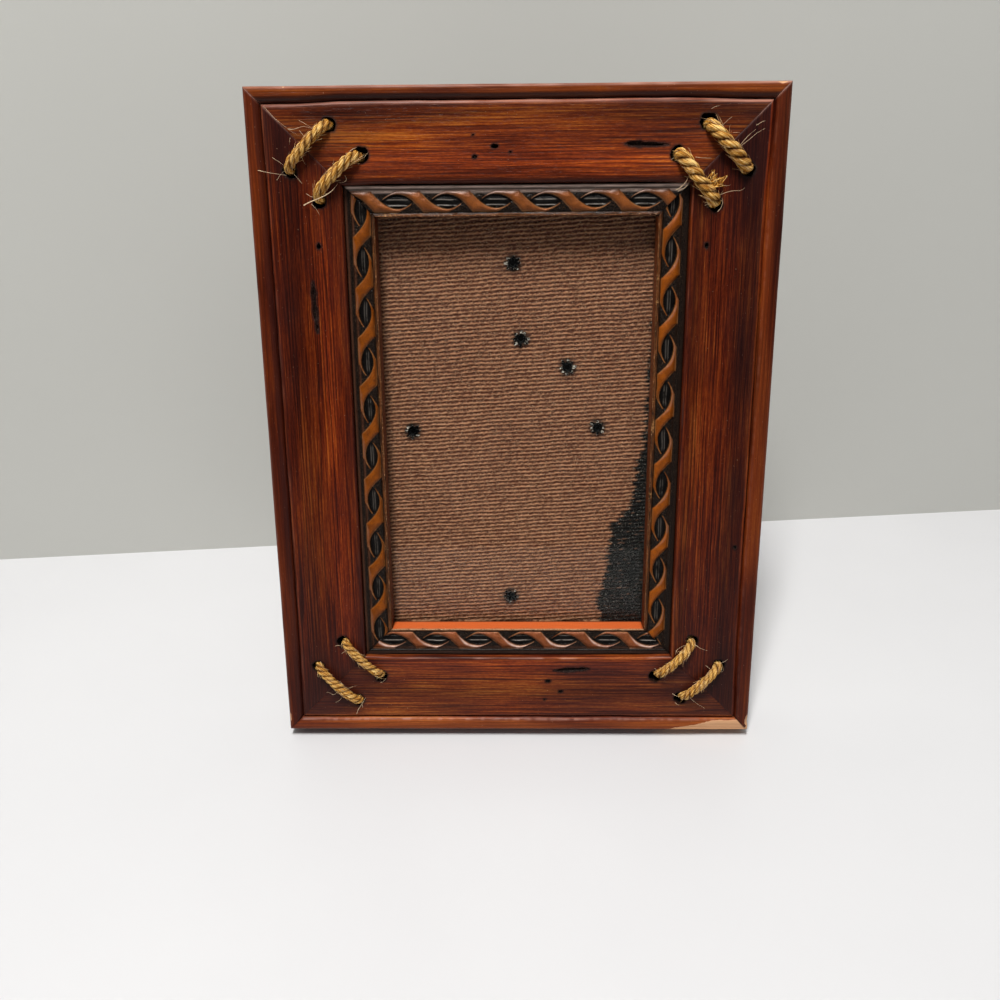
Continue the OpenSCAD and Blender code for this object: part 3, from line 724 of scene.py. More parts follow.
class Rail(Bar):
    """An outer rail: bead and groove, flat face, sight edge and rebate, worn and stained."""

    def __init__(self, side, seed):
        super().__init__(side, seed, RAIL_PROFILE, 0.4)
        self.look = RAIL_LOOKS[side]
        # Parts of the section, by the depth and width of its lines
        self.front = (self.depth < 3.1) & (self.width > 0.01)
        self.face = self.front & (self.width > 5.9) & (self.width < 27.3)
        self.bead = (self.width < 4.95) & (self.depth < 17.0)
        self.on_face = self.face | ((self.width > 1.4) & self.front)
        self.home = self.w.copy()
        self.wander()
        self.dress()
        self.knock()
        if side in ("bottom", "right"):
            self.split_corner()
        self.mask_bead_and_back()
        self.mask_light()
        self.mask_rubbing_and_highlights()
        self.mask_stain_and_shade()
        self.drill_rope_holes()
        self.bore_worm_holes()
        self.gouge()
        self.cut_nail_slots()

    def wander(self):
        """The groove wanders inward, and the sight edges of top and bottom lie further out."""
        moved = smooth_step(1.0, 4.0, self.home) * (1 - smooth_step(5.6, 10.0, self.home)) * self.front
        self.w += self.look["groove_in"] * moved * smooth_step(2, 30, self.to_mitre)
        if self.side not in UPRIGHTS:
            at_sight = smooth_step(26.9, 27.7, self.home) * (self.depth < 5.4)
            self.w -= 0.4 * at_sight * smooth_step(1, 12, self.to_mitre)

    def dress(self):
        """A slow wave on the face, and edges that were dressed by hand."""
        s, w, d, seed = self.s, self.w, self.d, self.seed
        d += np.where(self.front, 0.07 * (1 + drift(s / 11, w / 6, seed)), 0)
        outer = (self.width < 0.4) & (d[0] > 0.5) & (d[0] < 18.9)
        w += np.where(outer, 0.05 * (1 + drift(s / 13, d / 7, seed + 1)), 0)
        shoulder = (self.width > 2.7) & (self.width < 5.6) & self.front
        w += np.where(shoulder, 0.10 * drift(s / 6, w / 9, seed + 2), 0)
        in_groove = (w[0] > 4.5) & (w[0] < 5.05)
        d += np.where(in_groove, 0.12 * drift(s / 2.5, w, seed + 3), 0)
        near_sight = (self.width > 26.6) & self.front
        d += np.where(near_sight, 0.09 * (1 + drift(s / 7, w / 9, seed + 4)), 0)

    def knock(self):
        """Knocks and small wear flats on the front arris."""
        limit = ARRIS + 0.30 * np.maximum(drift(self.s / 1.7, 0, self.seed + 5) - 0.45, 0) + 0.04
        uneven = 1 + 0.3 * drift(self.s * 1.5, 0, self.seed + 6)
        for place, reach, size in KNOCKS[self.side]:
            at = place * (self.along[0] + self.along[1])
            swell = np.clip(1 - ((self.s - at) / reach) ** 2, 0, 1) * uneven
            limit = np.maximum(limit, ARRIS + size * swell)
        arris = (self.width < 3.4) & (self.depth < 4)
        lack = np.maximum(np.where(arris, limit - (self.w + self.d), 0), 0)
        self.w += lack / 2
        self.d += lack / 2
        self.masks["chip"] = smooth_step(0.10, 0.28, lack)

    def split_corner(self):
        """The sliver's place is flat and shows bare wood."""
        x = self.x()
        over_foot = self.z() + FRAME_H / 2
        if self.side == "bottom":
            top = np.interp(x, SPLIT_X, SPLIT_TOP) + 0.22 * drift(x / 2.2, 0, 7)
        else:
            top = 2.6 - np.clip(FRAME_W / 2 - x, 0, 9) * 1.3 + 0.3 * drift(x / 0.8, 0, 8)
        part = (x > SPLIT_X[0]) & (self.width < 6) & (self.depth < 5)
        inside = np.clip(top - over_foot, 0, None) * part
        facet = np.minimum(0.10 + 0.16 * inside, 1.1)
        self.d[:] = np.where(inside > 0, np.maximum(self.d, facet), self.d)
        self.masks["chip"] = np.maximum(self.masks["chip"], smooth_step(0.0, 0.25, inside))

    def mask_bead_and_back(self):
        self.masks["bead"] = self.bead * (1 - smooth_step(3.9, 4.9, self.home))
        in_rebate = (self.w > 23) & (self.d > 6)
        behind = smooth_step(RAIL_D - 1.2, RAIL_D - 0.4, self.d) + in_rebate
        self.masks["behind"] = np.clip(behind, 0, 1)

    def mask_light(self):
        """Painted light and shade on the bead and on a strip by the right rail's groove, and lighter or
        darker bands of the flat.
        """
        home = self.home
        lit = self.look["bead_lit"] * self.bead
        self.strip = np.zeros_like(self.s)
        if self.side == "right":
            # A pale strip of painted light runs along the groove and off into the top right corner; there
            # the bead's outer half gets painted shade, and its shoulder lower down a little painted light.
            high = smooth_step(25, 60, self.z())
            middle = np.interp(self.z(), (50, 96), (4.1, 5.6))
            self.strip = bell(home, middle, 0.9) * high * self.front
            low_shoulder = smooth_step(2.6, 3.4, home) * self.bead * 0.25 * (1 - high)
            lit = lit + low_shoulder + 1.3 * self.strip - 0.5 * high * (home < 2.5)
        for at, reach, amount in self.look["bands"]:
            lit = lit + amount * bell(home, at, reach) * self.face * smooth_step(0, 14, self.to_mitre)
        self.masks["lit"] = np.clip(lit, -1.2, 1.8)

    def mask_rubbing_and_highlights(self):
        """Edges are rubbed pale and painted with highlights, and a thread along the mitres is rubbed pale.
        """
        s, w, home, look, seed = self.s, self.w, self.home, self.look, self.seed
        patchy = 0.6 + 0.4 * drift(s / 5, w / 2, seed + 9)
        edge = bell(home, 0.35, 0.45) * (self.d < 1.4)
        arris = bell(home, 5.5, 0.52)
        # Painted highlights on the bead's shoulder and on the sight edge, where they face the light
        shoulder = bell(home, 4.0, 0.26) * smooth_step(-0.6, 0.5, drift(s / 1.4, 0, seed + 11))
        sight = bell(home, 28.2, 0.22) * smooth_step(-0.5, 0.5, drift(s / 6, 0, seed + 10))
        rub_and_highlight = edge * look["edge_rub"] + arris * look["arris_rub"]
        rub_and_highlight = rub_and_highlight + shoulder * look["shoulder_rub"] + sight * look["sight_rub"]
        upper = (self.side == "top") | (self.z() > 0)
        fading = 0.40 * (1 - smooth_step(8, 14, w)) + 0.06
        thread = fade(self.to_mitre, 0.13) * upper * np.where(home < 4.9, 0.85, fading)
        self.masks["rub_and_highlight"] = np.clip(np.maximum(rub_and_highlight * patchy, thread) * self.front, 0, 1)

    def mask_stain_and_shade(self):
        """Stain in the mitres, along the edges of the face and in its corners; stain and painted shade in
        the groove, and painted shade on the bead's shoulder and along the sight edge.
        """
        home, look = self.home, self.look
        # Painted shade on the bead's shoulder, and stain with painted shade in the groove
        shoulder = smooth_step(2.5, 3.5, home) * (1 - smooth_step(4.9, 5.2, home)) * look["shoulder_stain"]
        groove = np.maximum(bell(home, 4.9, 0.35), shoulder) * self.front * (1 - self.strip)
        # Painted shade along the sight edge
        sight = smooth_step(25.9, 27.1, home) * look["sight_stain"] * self.front
        joint = fade(self.to_mitre, 0.25) * 0.8
        lines = np.maximum(np.maximum(groove * look["groove_stain"], sight), joint)
        corner_reach = np.where(self.s < 0, *look["corner_reach"])
        corner = fade(self.to_mitre, corner_reach) * look["corner_stain"] * self.face
        outer = (1 - smooth_step(10.0, 17.0, self.w)) * look["outer_stain"] * self.face
        cloud = 0.28 * drift(self.s / 22, self.w / 8, self.seed + 8) * self.face
        self.masks["dark"] = np.clip(np.maximum(lines, corner + outer + cloud), 0, 1)

    def drill_rope_holes(self):
        for number, (side, x, z, radius) in enumerate(rope_holes()):
            if side == self.side:
                field = round_hole(*self.spot(x, z), radius, 0.12, 2.2, (number, 40 + number))
                self.cut(field, 2.4, 8.0, 40.0, self.on_face, 0.3)

    def bore_worm_holes(self):
        """Round pits, drawn out a little along the bar."""
        for number, (side, x, z, radius) in enumerate(WORM_HOLES):
            if side == self.side:
                field = round_hole(*self.spot(x, z), radius, 0.22, 1.6, (number, 60 + number), (0.8, 1.2))
                self.cut(field, 0.5, 2.2, 5.0, self.on_face, 0.12)
                if side != "bottom":
                    self.lay_crumbs(field, x, z, radius)

    def lay_crumbs(self, field, x, z, radius):
        """Crumbs of bare wood along the lower right rim of a worm hole."""
        lower_right = ((self.x() - x) * 0.5 - (self.z() - z) * 0.85) / radius
        crumbs = bell(field(self.s, self.w), 0.12, 0.12) * smooth_step(0.1, 0.9, lower_right) * self.on_face
        self.masks["chip"] = np.maximum(self.masks["chip"], crumbs * 0.75)
        self.masks["char_and_hole_shade"] *= 1 - crumbs

    def gouge(self):
        for number, (side, start, end, width, peak, deep) in enumerate(GOUGES):
            if side == self.side:
                field = long_pit(self.spot(*start), self.spot(*end), width, peak, number)
                self.cut(field, 0.25, deep, 1.4, self.on_face, 0.12, char_and_hole_shade=0.92)

    def cut_nail_slots(self):
        """Slots of the mitre nails in the back: one station is sunk, and its neighbours stand close by."""
        char_and_hole_shade = self.mask("char_and_hole_shade")
        back = self.d[0] > RAIL_D - 0.01
        for at in V_NAILS:
            slot = back & (self.width < at - 0.05) & (self.width > at - V_NAIL_LEG)
            for sign in (-1, 1):
                centre = sign * (self.length / 2 - at)
                station = int(np.argmin(np.abs(self.s[:, 0] - centre)))
                for beside in (-1, 0, 1):
                    self.s[station + beside][slot] = centre + 0.36 * beside
                self.d[station][slot] -= 1.1
                # The slot is painted dark, as char and painted shade.
                char_and_hole_shade[station][slot] = 0.7


for number, side in enumerate(SIDES):
    rail = Rail(side, 100 + 20 * number).build("rail_" + side + "_wood", 0.12)
    look = RAIL_LOOKS[side]
    wood = Wood(side, number + 1).finished(look["shade"], look["gathered"])
    fit(rail, "frame", "stained_wood", wood, "rail_" + side)


# Slips: a twisted ribbon carved over a reeded rod

# How each slip differs:
# middle and half-width of the carved band, half-width of its almonds, where their two lit reeds are;
# phase is where one almond's middle is along the bar, and pitch how far it is to the next;
# shine and reed_shine are how bright the painted highlights on the ribbon's crest and on the reeds are, the
# reeds' mixed with wear;
# ribbon, rim and inner are the colours of the ribbon, the lines beside it and the face towards the glass;
# the top slip's pale lines are a painted highlight, and the bottom slip's face towards the glass is painted
# lit;
# lip_dull is how rarely the lip's edge is pale, as wear and a painted highlight, most often on the bottom
# slip.
SLIP_LOOKS = {
    "top": {
        "middle": 33.5, "half": 3.3, "almond": 2.25, "reeds": (0.45, -1.25), "phase": -6.3, "pitch": 15.5,
        "shine": 0.9, "reed_shine": 1.0, "lip_dull": 0.56,
        "ribbon": rgb(132, 74, 34), "rim": rgb(244, 214, 198), "inner": rgb(92, 40, 14),
    },
    "right": {
        "middle": 33.7, "half": 2.9, "almond": 2.0, "reeds": (0.25, -0.5), "phase": 2.27, "pitch": 15.21,
        "shine": 0.08, "reed_shine": 0.35, "lip_dull": 0.58,
        "ribbon": rgb(142, 72, 14), "rim": rgb(30, 18, 12), "inner": rgb(110, 52, 20),
    },
    "bottom": {
        "middle": 33.75, "half": 3.1, "almond": 2.15, "reeds": (0.25, -1.5), "phase": -1.34, "pitch": 15.19,
        "shine": 0.75, "reed_shine": 1.0, "lip_dull": 0.36,
        "ribbon": rgb(132, 72, 40), "rim": rgb(66, 44, 36), "inner": rgb(218, 104, 50),
    },
    "left": {
        "middle": 33.7, "half": 2.9, "almond": 2.05, "reeds": (0.2, -0.5), "phase": -7.03, "pitch": 15.8,
        "shine": 0.08, "reed_shine": 0.35, "lip_dull": 0.58,
        "ribbon": rgb(134, 68, 13), "rim": rgb(76, 46, 32), "inner": rgb(96, 42, 18),
    },
}
# Half-length of an almond, and how far past its two almonds a ribbon still shows
ALMOND_A = 5.25
RIBBON_END = 4.5
# Widths of the tongue behind the rail, the wall behind the lip and the bottom of the clips' groove
TONGUE = 24.1
WALL = 31.25
CLIP_GROOVE = 26.85
SLIP_PROFILE = (
    [(RAIL_D, TONGUE), (12.0, TONGUE), (5.6, TONGUE), (5.6, SLIP_OUT), (3.6, SLIP_OUT), (3.0, SLIP_OUT)]
    + [(2.78, SLIP_OUT + 0.08), (SLIP_FRONT, SLIP_OUT + 0.3)]
    + [(SLIP_FRONT, w) for w in np.arange(29.15, 37.95, 0.2)]
    + [(2.85, 38.0)]
    + [(d, SLIP_IN) for d in (3.1, 3.6, 5.0, 7.0, 9.0, 10.0)]
    + [(10.0, WALL), (12.5, WALL), (15.4, WALL), (15.4, CLIP_GROOVE), (16.9, CLIP_GROOVE)]
    + [(16.9, WALL), (RAIL_D, WALL), (RAIL_D, 27.5)]
)


class Slip(Bar):
    """An inner slip: a plain moulding with a carved band on its front."""

    def __init__(self, side, seed):
        super().__init__(side, seed, SLIP_PROFILE, 0.2)
        self.look = SLIP_LOOKS[side]
        self.front = (self.depth < 3.2) & (self.width > SLIP_OUT)
        self.run_ribbon()
        self.find_relief()
        self.carve()
        self.mask_carving()
        self.mask_edges()

    def run_ribbon(self):
        """Finds how deep each spot lies inside the ribbon and inside the almonds."""
        s = self.s + 0.12 * drift(self.s / 5, self.w / 3, self.seed)
        self.v = self.look["middle"] - self.w + 0.10 * drift(self.s / 4, 0, self.seed + 1)
        self.v = self.v * (1 + 0.03 * drift(self.s / 9, 0, self.seed + 9))
        self.ribbon = np.full_like(s, -1.0)
        self.almond = np.full_like(s, -1.0)
        self.fall = np.zeros_like(s)
        self.crest = np.full_like(s, 9.0)
        self.foot = np.full_like(s, 9.0)
        self.from_middle = np.full_like(s, 99.0)
        phase, pitch = self.look["phase"], self.look["pitch"]
        whole = np.floor((s - phase) / pitch)
        for turn in (-1, 0, 1):
            t = s - phase - (whole + turn) * pitch
            inside, fall, crest, foot, hollow = self.one_turn(t)
            nearer = inside > self.ribbon
            self.fall = np.where(nearer, fall, self.fall)
            self.crest = np.where(nearer, crest, self.crest)
            self.foot = np.where(nearer, foot, self.foot)
            self.ribbon = np.maximum(self.ribbon, inside)
            self.almond = np.maximum(self.almond, hollow)
            self.from_middle = np.where(np.abs(t) < np.abs(self.from_middle), t, self.from_middle)

    def one_turn(self, t):
        """One ribbon: over the almond at t = 0, down between the two, and under the next at t = pitch."""
        v, half, almond, pitch = self.v, self.look["half"], self.look["almond"], self.look["pitch"]
        over = almond * (1 - (t / ALMOND_A) ** 2)
        under = -almond * (1 - ((t - pitch) / ALMOND_A) ** 2)
        tail = 0.20 + 0.050 * np.clip(t + 4.4, 0, None) ** 1.95
        next_tail = 0.20 + 0.050 * np.clip(pitch + 4.4 - t, 0, None) ** 1.95
        low = np.maximum(over, -half)
        low = np.where(t > pitch / 2, np.maximum(low, under - next_tail), low)
        high = np.minimum(under, half)
        high = np.where(t < pitch / 2, np.minimum(high, over + tail), high)
        near = np.clip(np.minimum(np.abs(t), np.abs(t - pitch)), 0, 8)
        steep = 1 / np.sqrt(1 + (2 * almond * near / ALMOND_A ** 2) ** 2)
        inside = np.minimum(v - low, high - v) * steep
        inside = np.where((t > -RIBBON_END) & (t < pitch + RIBBON_END), inside, -1)
        fall = smooth_step(-1.0, -RIBBON_END, t) + smooth_step(pitch + 1.0, pitch + RIBBON_END, t)
        # The crest, with a painted highlight, is on the ribbon's edge that faces up or to the left; the
        # foot, with painted shade, is on the other edge.
        upper, lower = (high - v, v - low) if self.side in ("top", "left") else (v - low, high - v)
        crest = upper * steep + 0.3 * np.clip(t - 5.0, 0, None)
        hollow = np.where(np.abs(t) < ALMOND_A, (over - np.abs(v)) * steep, -1)
        return inside, fall, crest, lower * steep, hollow

    def find_relief(self):
        """Where the band is, and where in it the ribbon stands, the almonds sink and their reeds run."""
        middle, half = self.look["middle"], self.look["half"]
        band = smooth_step(middle - half - 0.15, middle - half + 0.05, self.w)
        self.band = band * (1 - smooth_step(middle + half - 0.05, middle + half + 0.15, self.w))
        self.raised = smooth_step(-0.08, 0.16, self.ribbon) * self.band
        self.sunk = smooth_step(0.0, 0.40, self.almond) * self.band
        bow = 0.05 * np.cos(self.from_middle / 3.5)
        first, second = self.look["reeds"]
        reed = bell(self.v - first, bow, 0.13) + 0.8 * bell(self.v - second, bow, 0.17)
        self.reed = reed * (1 - smooth_step(2.2, 4.0, np.abs(self.from_middle)))
        self.cove_at = middle + half + 0.2
        self.lip = smooth_step(self.cove_at + 0.05, self.cove_at + 0.25, self.w)

    def carve(self):
        s, w, v, seed = self.s, self.w, self.v, self.seed
        middle, half = self.look["middle"], self.look["half"]
        band, raised, sunk = self.band, self.raised, self.sunk
        depth = SLIP_FRONT + 0.35 * (np.clip(np.abs(v) / half, 0, 1)) ** 2
        depth = depth + 0.65 * band * (1 - raised) * (1 - sunk)
        rod = np.sqrt(np.clip(1 - (v / 2.6) ** 2, 0, 1))
        depth = depth + sunk * (2.3 - rod - 0.35 * self.reed)
        rounding = 0.52 * (1 - np.clip(self.ribbon / 1.5, 0, 1)) ** 2
        depth = depth + (rounding + 0.30 * self.fall) * raised
        depth = depth + 0.06 * drift(s / 1.3, w / 0.9, seed + 2) * band
        ground = band * (1 - raised) * (1 - sunk)
        depth = depth + 0.10 * drift(s / 0.5, w / 0.5, seed + 6) * ground
        # The line beside the rim, the cove, the worn lip and the line on it
        depth = depth + 0.30 * bell(w, middle - half - 0.35, 0.14)
        wave = 0.12 * drift(s / 2.4, 0, seed + 3) + 0.06 * drift(s / 0.7, w / 0.6, seed + 5)
        depth = depth + 0.45 * bell(w, self.cove_at, 0.22) + self.lip * (0.12 + wave)
        depth = depth + 0.12 * bell(w, 37.45, 0.12)
        rounded = (self.width > 37.9) | (self.width < 29.1)
        depth = depth + np.where(rounded, np.maximum(self.depth - SLIP_FRONT, 0), 0)
        self.d = np.where(self.front, depth + 0.05 * (1 + drift(s / 8, w, seed + 4)), self.d)

    def mask_carving(self):
        front, raised, sunk = self.front, self.raised, self.sunk
        self.masks["ribbon"] = smooth_step(-0.05, 0.07, self.ribbon) * self.band * front
        self.masks["worn"] = bell(self.ribbon, 0.10, 0.12) * self.band * front
        # A painted highlight on the crest and painted shade along the foot
        self.masks["crest"] = self.look["shine"] * bell(self.crest, 0.40, 0.34) * raised * front
        self.masks["foot"] = bell(np.maximum(self.foot, 0), 0, 0.55) * raised * front
        self.masks["almond"] = sunk * front
        self.masks["reed"] = np.clip(self.reed, 0, 1) * sunk * front * self.look["reed_shine"]

    def mask_edges(self):
        """Two lines along the outside, on the rim and beside the ribbon, pale on the top slip as a painted
        highlight; the lip; the inner face.
        """
        ground_at = self.look["middle"] - self.look["half"] + 0.35
        ground_line = bell(self.w, ground_at, 0.36) * (1 - self.raised)
        self.masks["rim"] = np.maximum(bell(self.w, 29.2, 0.36), ground_line) * self.front
        self.masks["lip"] = self.lip * self.front
        self.masks["lip_edge"] = bell(self.w, 37.85, 0.18) * (self.width > 37.2) * (self.depth < 3.3)
        inner = (self.width > 37.9) & (self.depth > 2.9) & (self.depth < 10)
        self.masks["inner"] = np.ones_like(self.s) * inner
        self.masks["joint"] = fade(self.to_mitre, 0.35)


class Lacquer(Paint):
    """Black lacquer with bronzed ribbons, dusty, rubbed through to pale gold on the edges."""

    def __init__(self, side, seed):
        super().__init__("slip_lacquer_" + side)
        self.look = SLIP_LOOKS[side]
        shift = (seed * 5.1, seed * 2.3, seed * 3.9)
        sizes = (0.4, 0.4, 7) if side in UPRIGHTS else (7, 0.4, 0.4)
        self.fine = self.noise(self.stretch(*sizes, shift=shift), 3.0, 0.6)
        self.patch = self.cloud(3.6, 3.0, 0.6, shift)
        self.speck = self.cloud(0.34, 2.0, 0.6, shift)
        self.dust = self.step(self.cloud(0.24, 2.0, 0.7, (7, 3, seed)), 0.60, 0.72)
        rubbed = self.step(self.plus(self.patch, self.times(self.speck, 0.35)), 0.50, 0.80)
        self.worn = self.times(self.mask("worn"), rubbed)

    def black(self):
        black = self.mix(self.step(self.speck, 0.42, 0.75), rgb(8, 5, 4), rgb(38, 26, 19))
        black = self.mix(self.times(self.fine, 0.5), black, rgb(24, 15, 10))
        return self.mix(self.times(self.dust, 0.5), black, rgb(132, 104, 78))

    def bronze(self):
        """The ribbon, dark in specks, with painted shade along its foot and a painted highlight on its
        crest.
        """
        copper = self.look["ribbon"]
        bronze = self.mix(self.step(self.patch, 0.35, 0.65), copper, self.mix(0.4, copper, rgb(66, 29, 11)))
        bronze = self.mix(self.times(self.step(self.speck, 0.55, 0.70), 0.55), bronze, rgb(38, 18, 9))
        bronze = self.mix(self.times(self.mask("foot"), 0.55), bronze, rgb(34, 15, 7))
        lit = self.step(self.plus(self.patch, self.times(self.speck, 0.3)), 0.45, 0.75, 0.25, 1.0)
        return self.mix(self.times(self.mask("crest"), lit), bronze, rgb(238, 206, 192))

    def almonds(self, colour):
        pit = self.mix(self.speck, rgb(2, 2, 2), rgb(13, 10, 9))
        colour = self.mix(self.times(self.mask("almond"), 0.94), colour, pit)
        # Painted highlights, mixed with wear, on the reeds' tops
        lit = self.step(self.plus(self.patch, self.times(self.fine, 0.4)), 0.50, 0.74)
        reed = self.times(self.mask("reed"), lit)
        return self.mix(self.times(reed, 0.85), colour, rgb(160, 150, 140))

    def lip(self):
        lip = self.mix(self.step(self.fine, 0.38, 0.62), rgb(38, 20, 10), rgb(98, 56, 27))
        gold = self.step(self.plus(self.patch, self.times(self.speck, 0.6)), 0.94, 1.02)
        lip = self.mix(self.times(gold, 0.5), lip, rgb(186, 138, 84))
        dull = self.look["lip_dull"]
        # The lip's edge: wear and a painted highlight, brightest on the bottom slip
        edge = self.times(self.mask("lip_edge"), self.step(self.speck, dull, dull + 0.14))
        lip = self.mix(edge, lip, rgb(224, 172, 128))
        return self.mix(self.times(self.dust, 0.35), lip, rgb(160, 124, 90))

    def finished(self):
        inner = self.look["inner"]
        colour = self.mix(self.mask("ribbon"), self.black(), self.bronze())
        gold = self.mix(0.4, self.look["ribbon"], rgb(208, 160, 104))
        colour = self.mix(self.times(self.worn, 0.5), colour, gold)
        # The lines by the rim: a painted highlight on the top slip
        rim = self.times(self.mask("rim"), self.step(self.fine, 0.30, 0.62, 0.45, 1.0))
        colour = self.mix(self.times(rim, 0.95), colour, self.look["rim"])
        colour = self.mix(self.mask("lip"), self.almonds(colour), self.lip())
        # The face towards the glass, painted lit on the bottom slip
        inner_face_colour = self.mix(self.fine, self.mix(0.4, inner, rgb(60, 24, 8)), inner)
        colour = self.mix(self.mask("inner"), colour, inner_face_colour)
        colour = self.mix(self.times(self.mask("joint"), 0.85), colour, rgb(10, 8, 8))
        metal = self.times(self.most(self.mask("ribbon"), self.worn), 0.12)
        rough = self.step(self.speck, 0.3, 0.7, 0.26, 0.48)
        height = self.weigh((self.fine, 0.4), (self.speck, 0.6))
        return self.surface(
            Base_Color=colour, Metallic=metal, Roughness=rough, Normal=self.bump(height, 0.14),
            Specular_IOR_Level=0.13,
        )


for number, side in enumerate(SIDES):
    slip = Slip(side, 300 + 20 * number).build("slip_" + side + "_carved", 0.14)
    fit(slip, "frame", "slip_lacquer", Lacquer(side, number + 1).finished(), "slip_" + side)


# Rope stitches: three laid strands of sisal, with fibres standing off them
# Depth where the rope's middle starts to bend out of its hole, and how far it goes on below that
STITCH_ROOT = 1.6
LEG = 4.4
# Radius of that bend, and how steeply the rope leaves it
BEND_R = 3.0
SLOPE = math.radians(20)
# Distance between the rings of a rope, points round a strand, and yarns that show round it
SPACING = 0.3
STRAND_TURNS = 40
YARNS = 11

# Radius, length of lay, lift and sideways sway of each stitch
STITCH_LOOKS = {
    "top_left_outer": (1.65, 7.2, 0.92, 0.7),
    "top_left_inner": (1.85, 7.8, 0.95, 1.3),
    "top_right_outer": (2.15, 9.0, 1.0, 0.0),
    "top_right_inner": (2.10, 8.6, 1.0, 0.0),
    "bottom_left_outer": (1.60, 6.2, 0.85, -0.3),
    "bottom_left_inner": (1.50, 5.8, 0.85, 0.0),
    "bottom_right_outer": (1.65, 6.2, 0.85, 0.3),
    "bottom_right_inner": (1.60, 6.0, 0.85, 0.2),
}
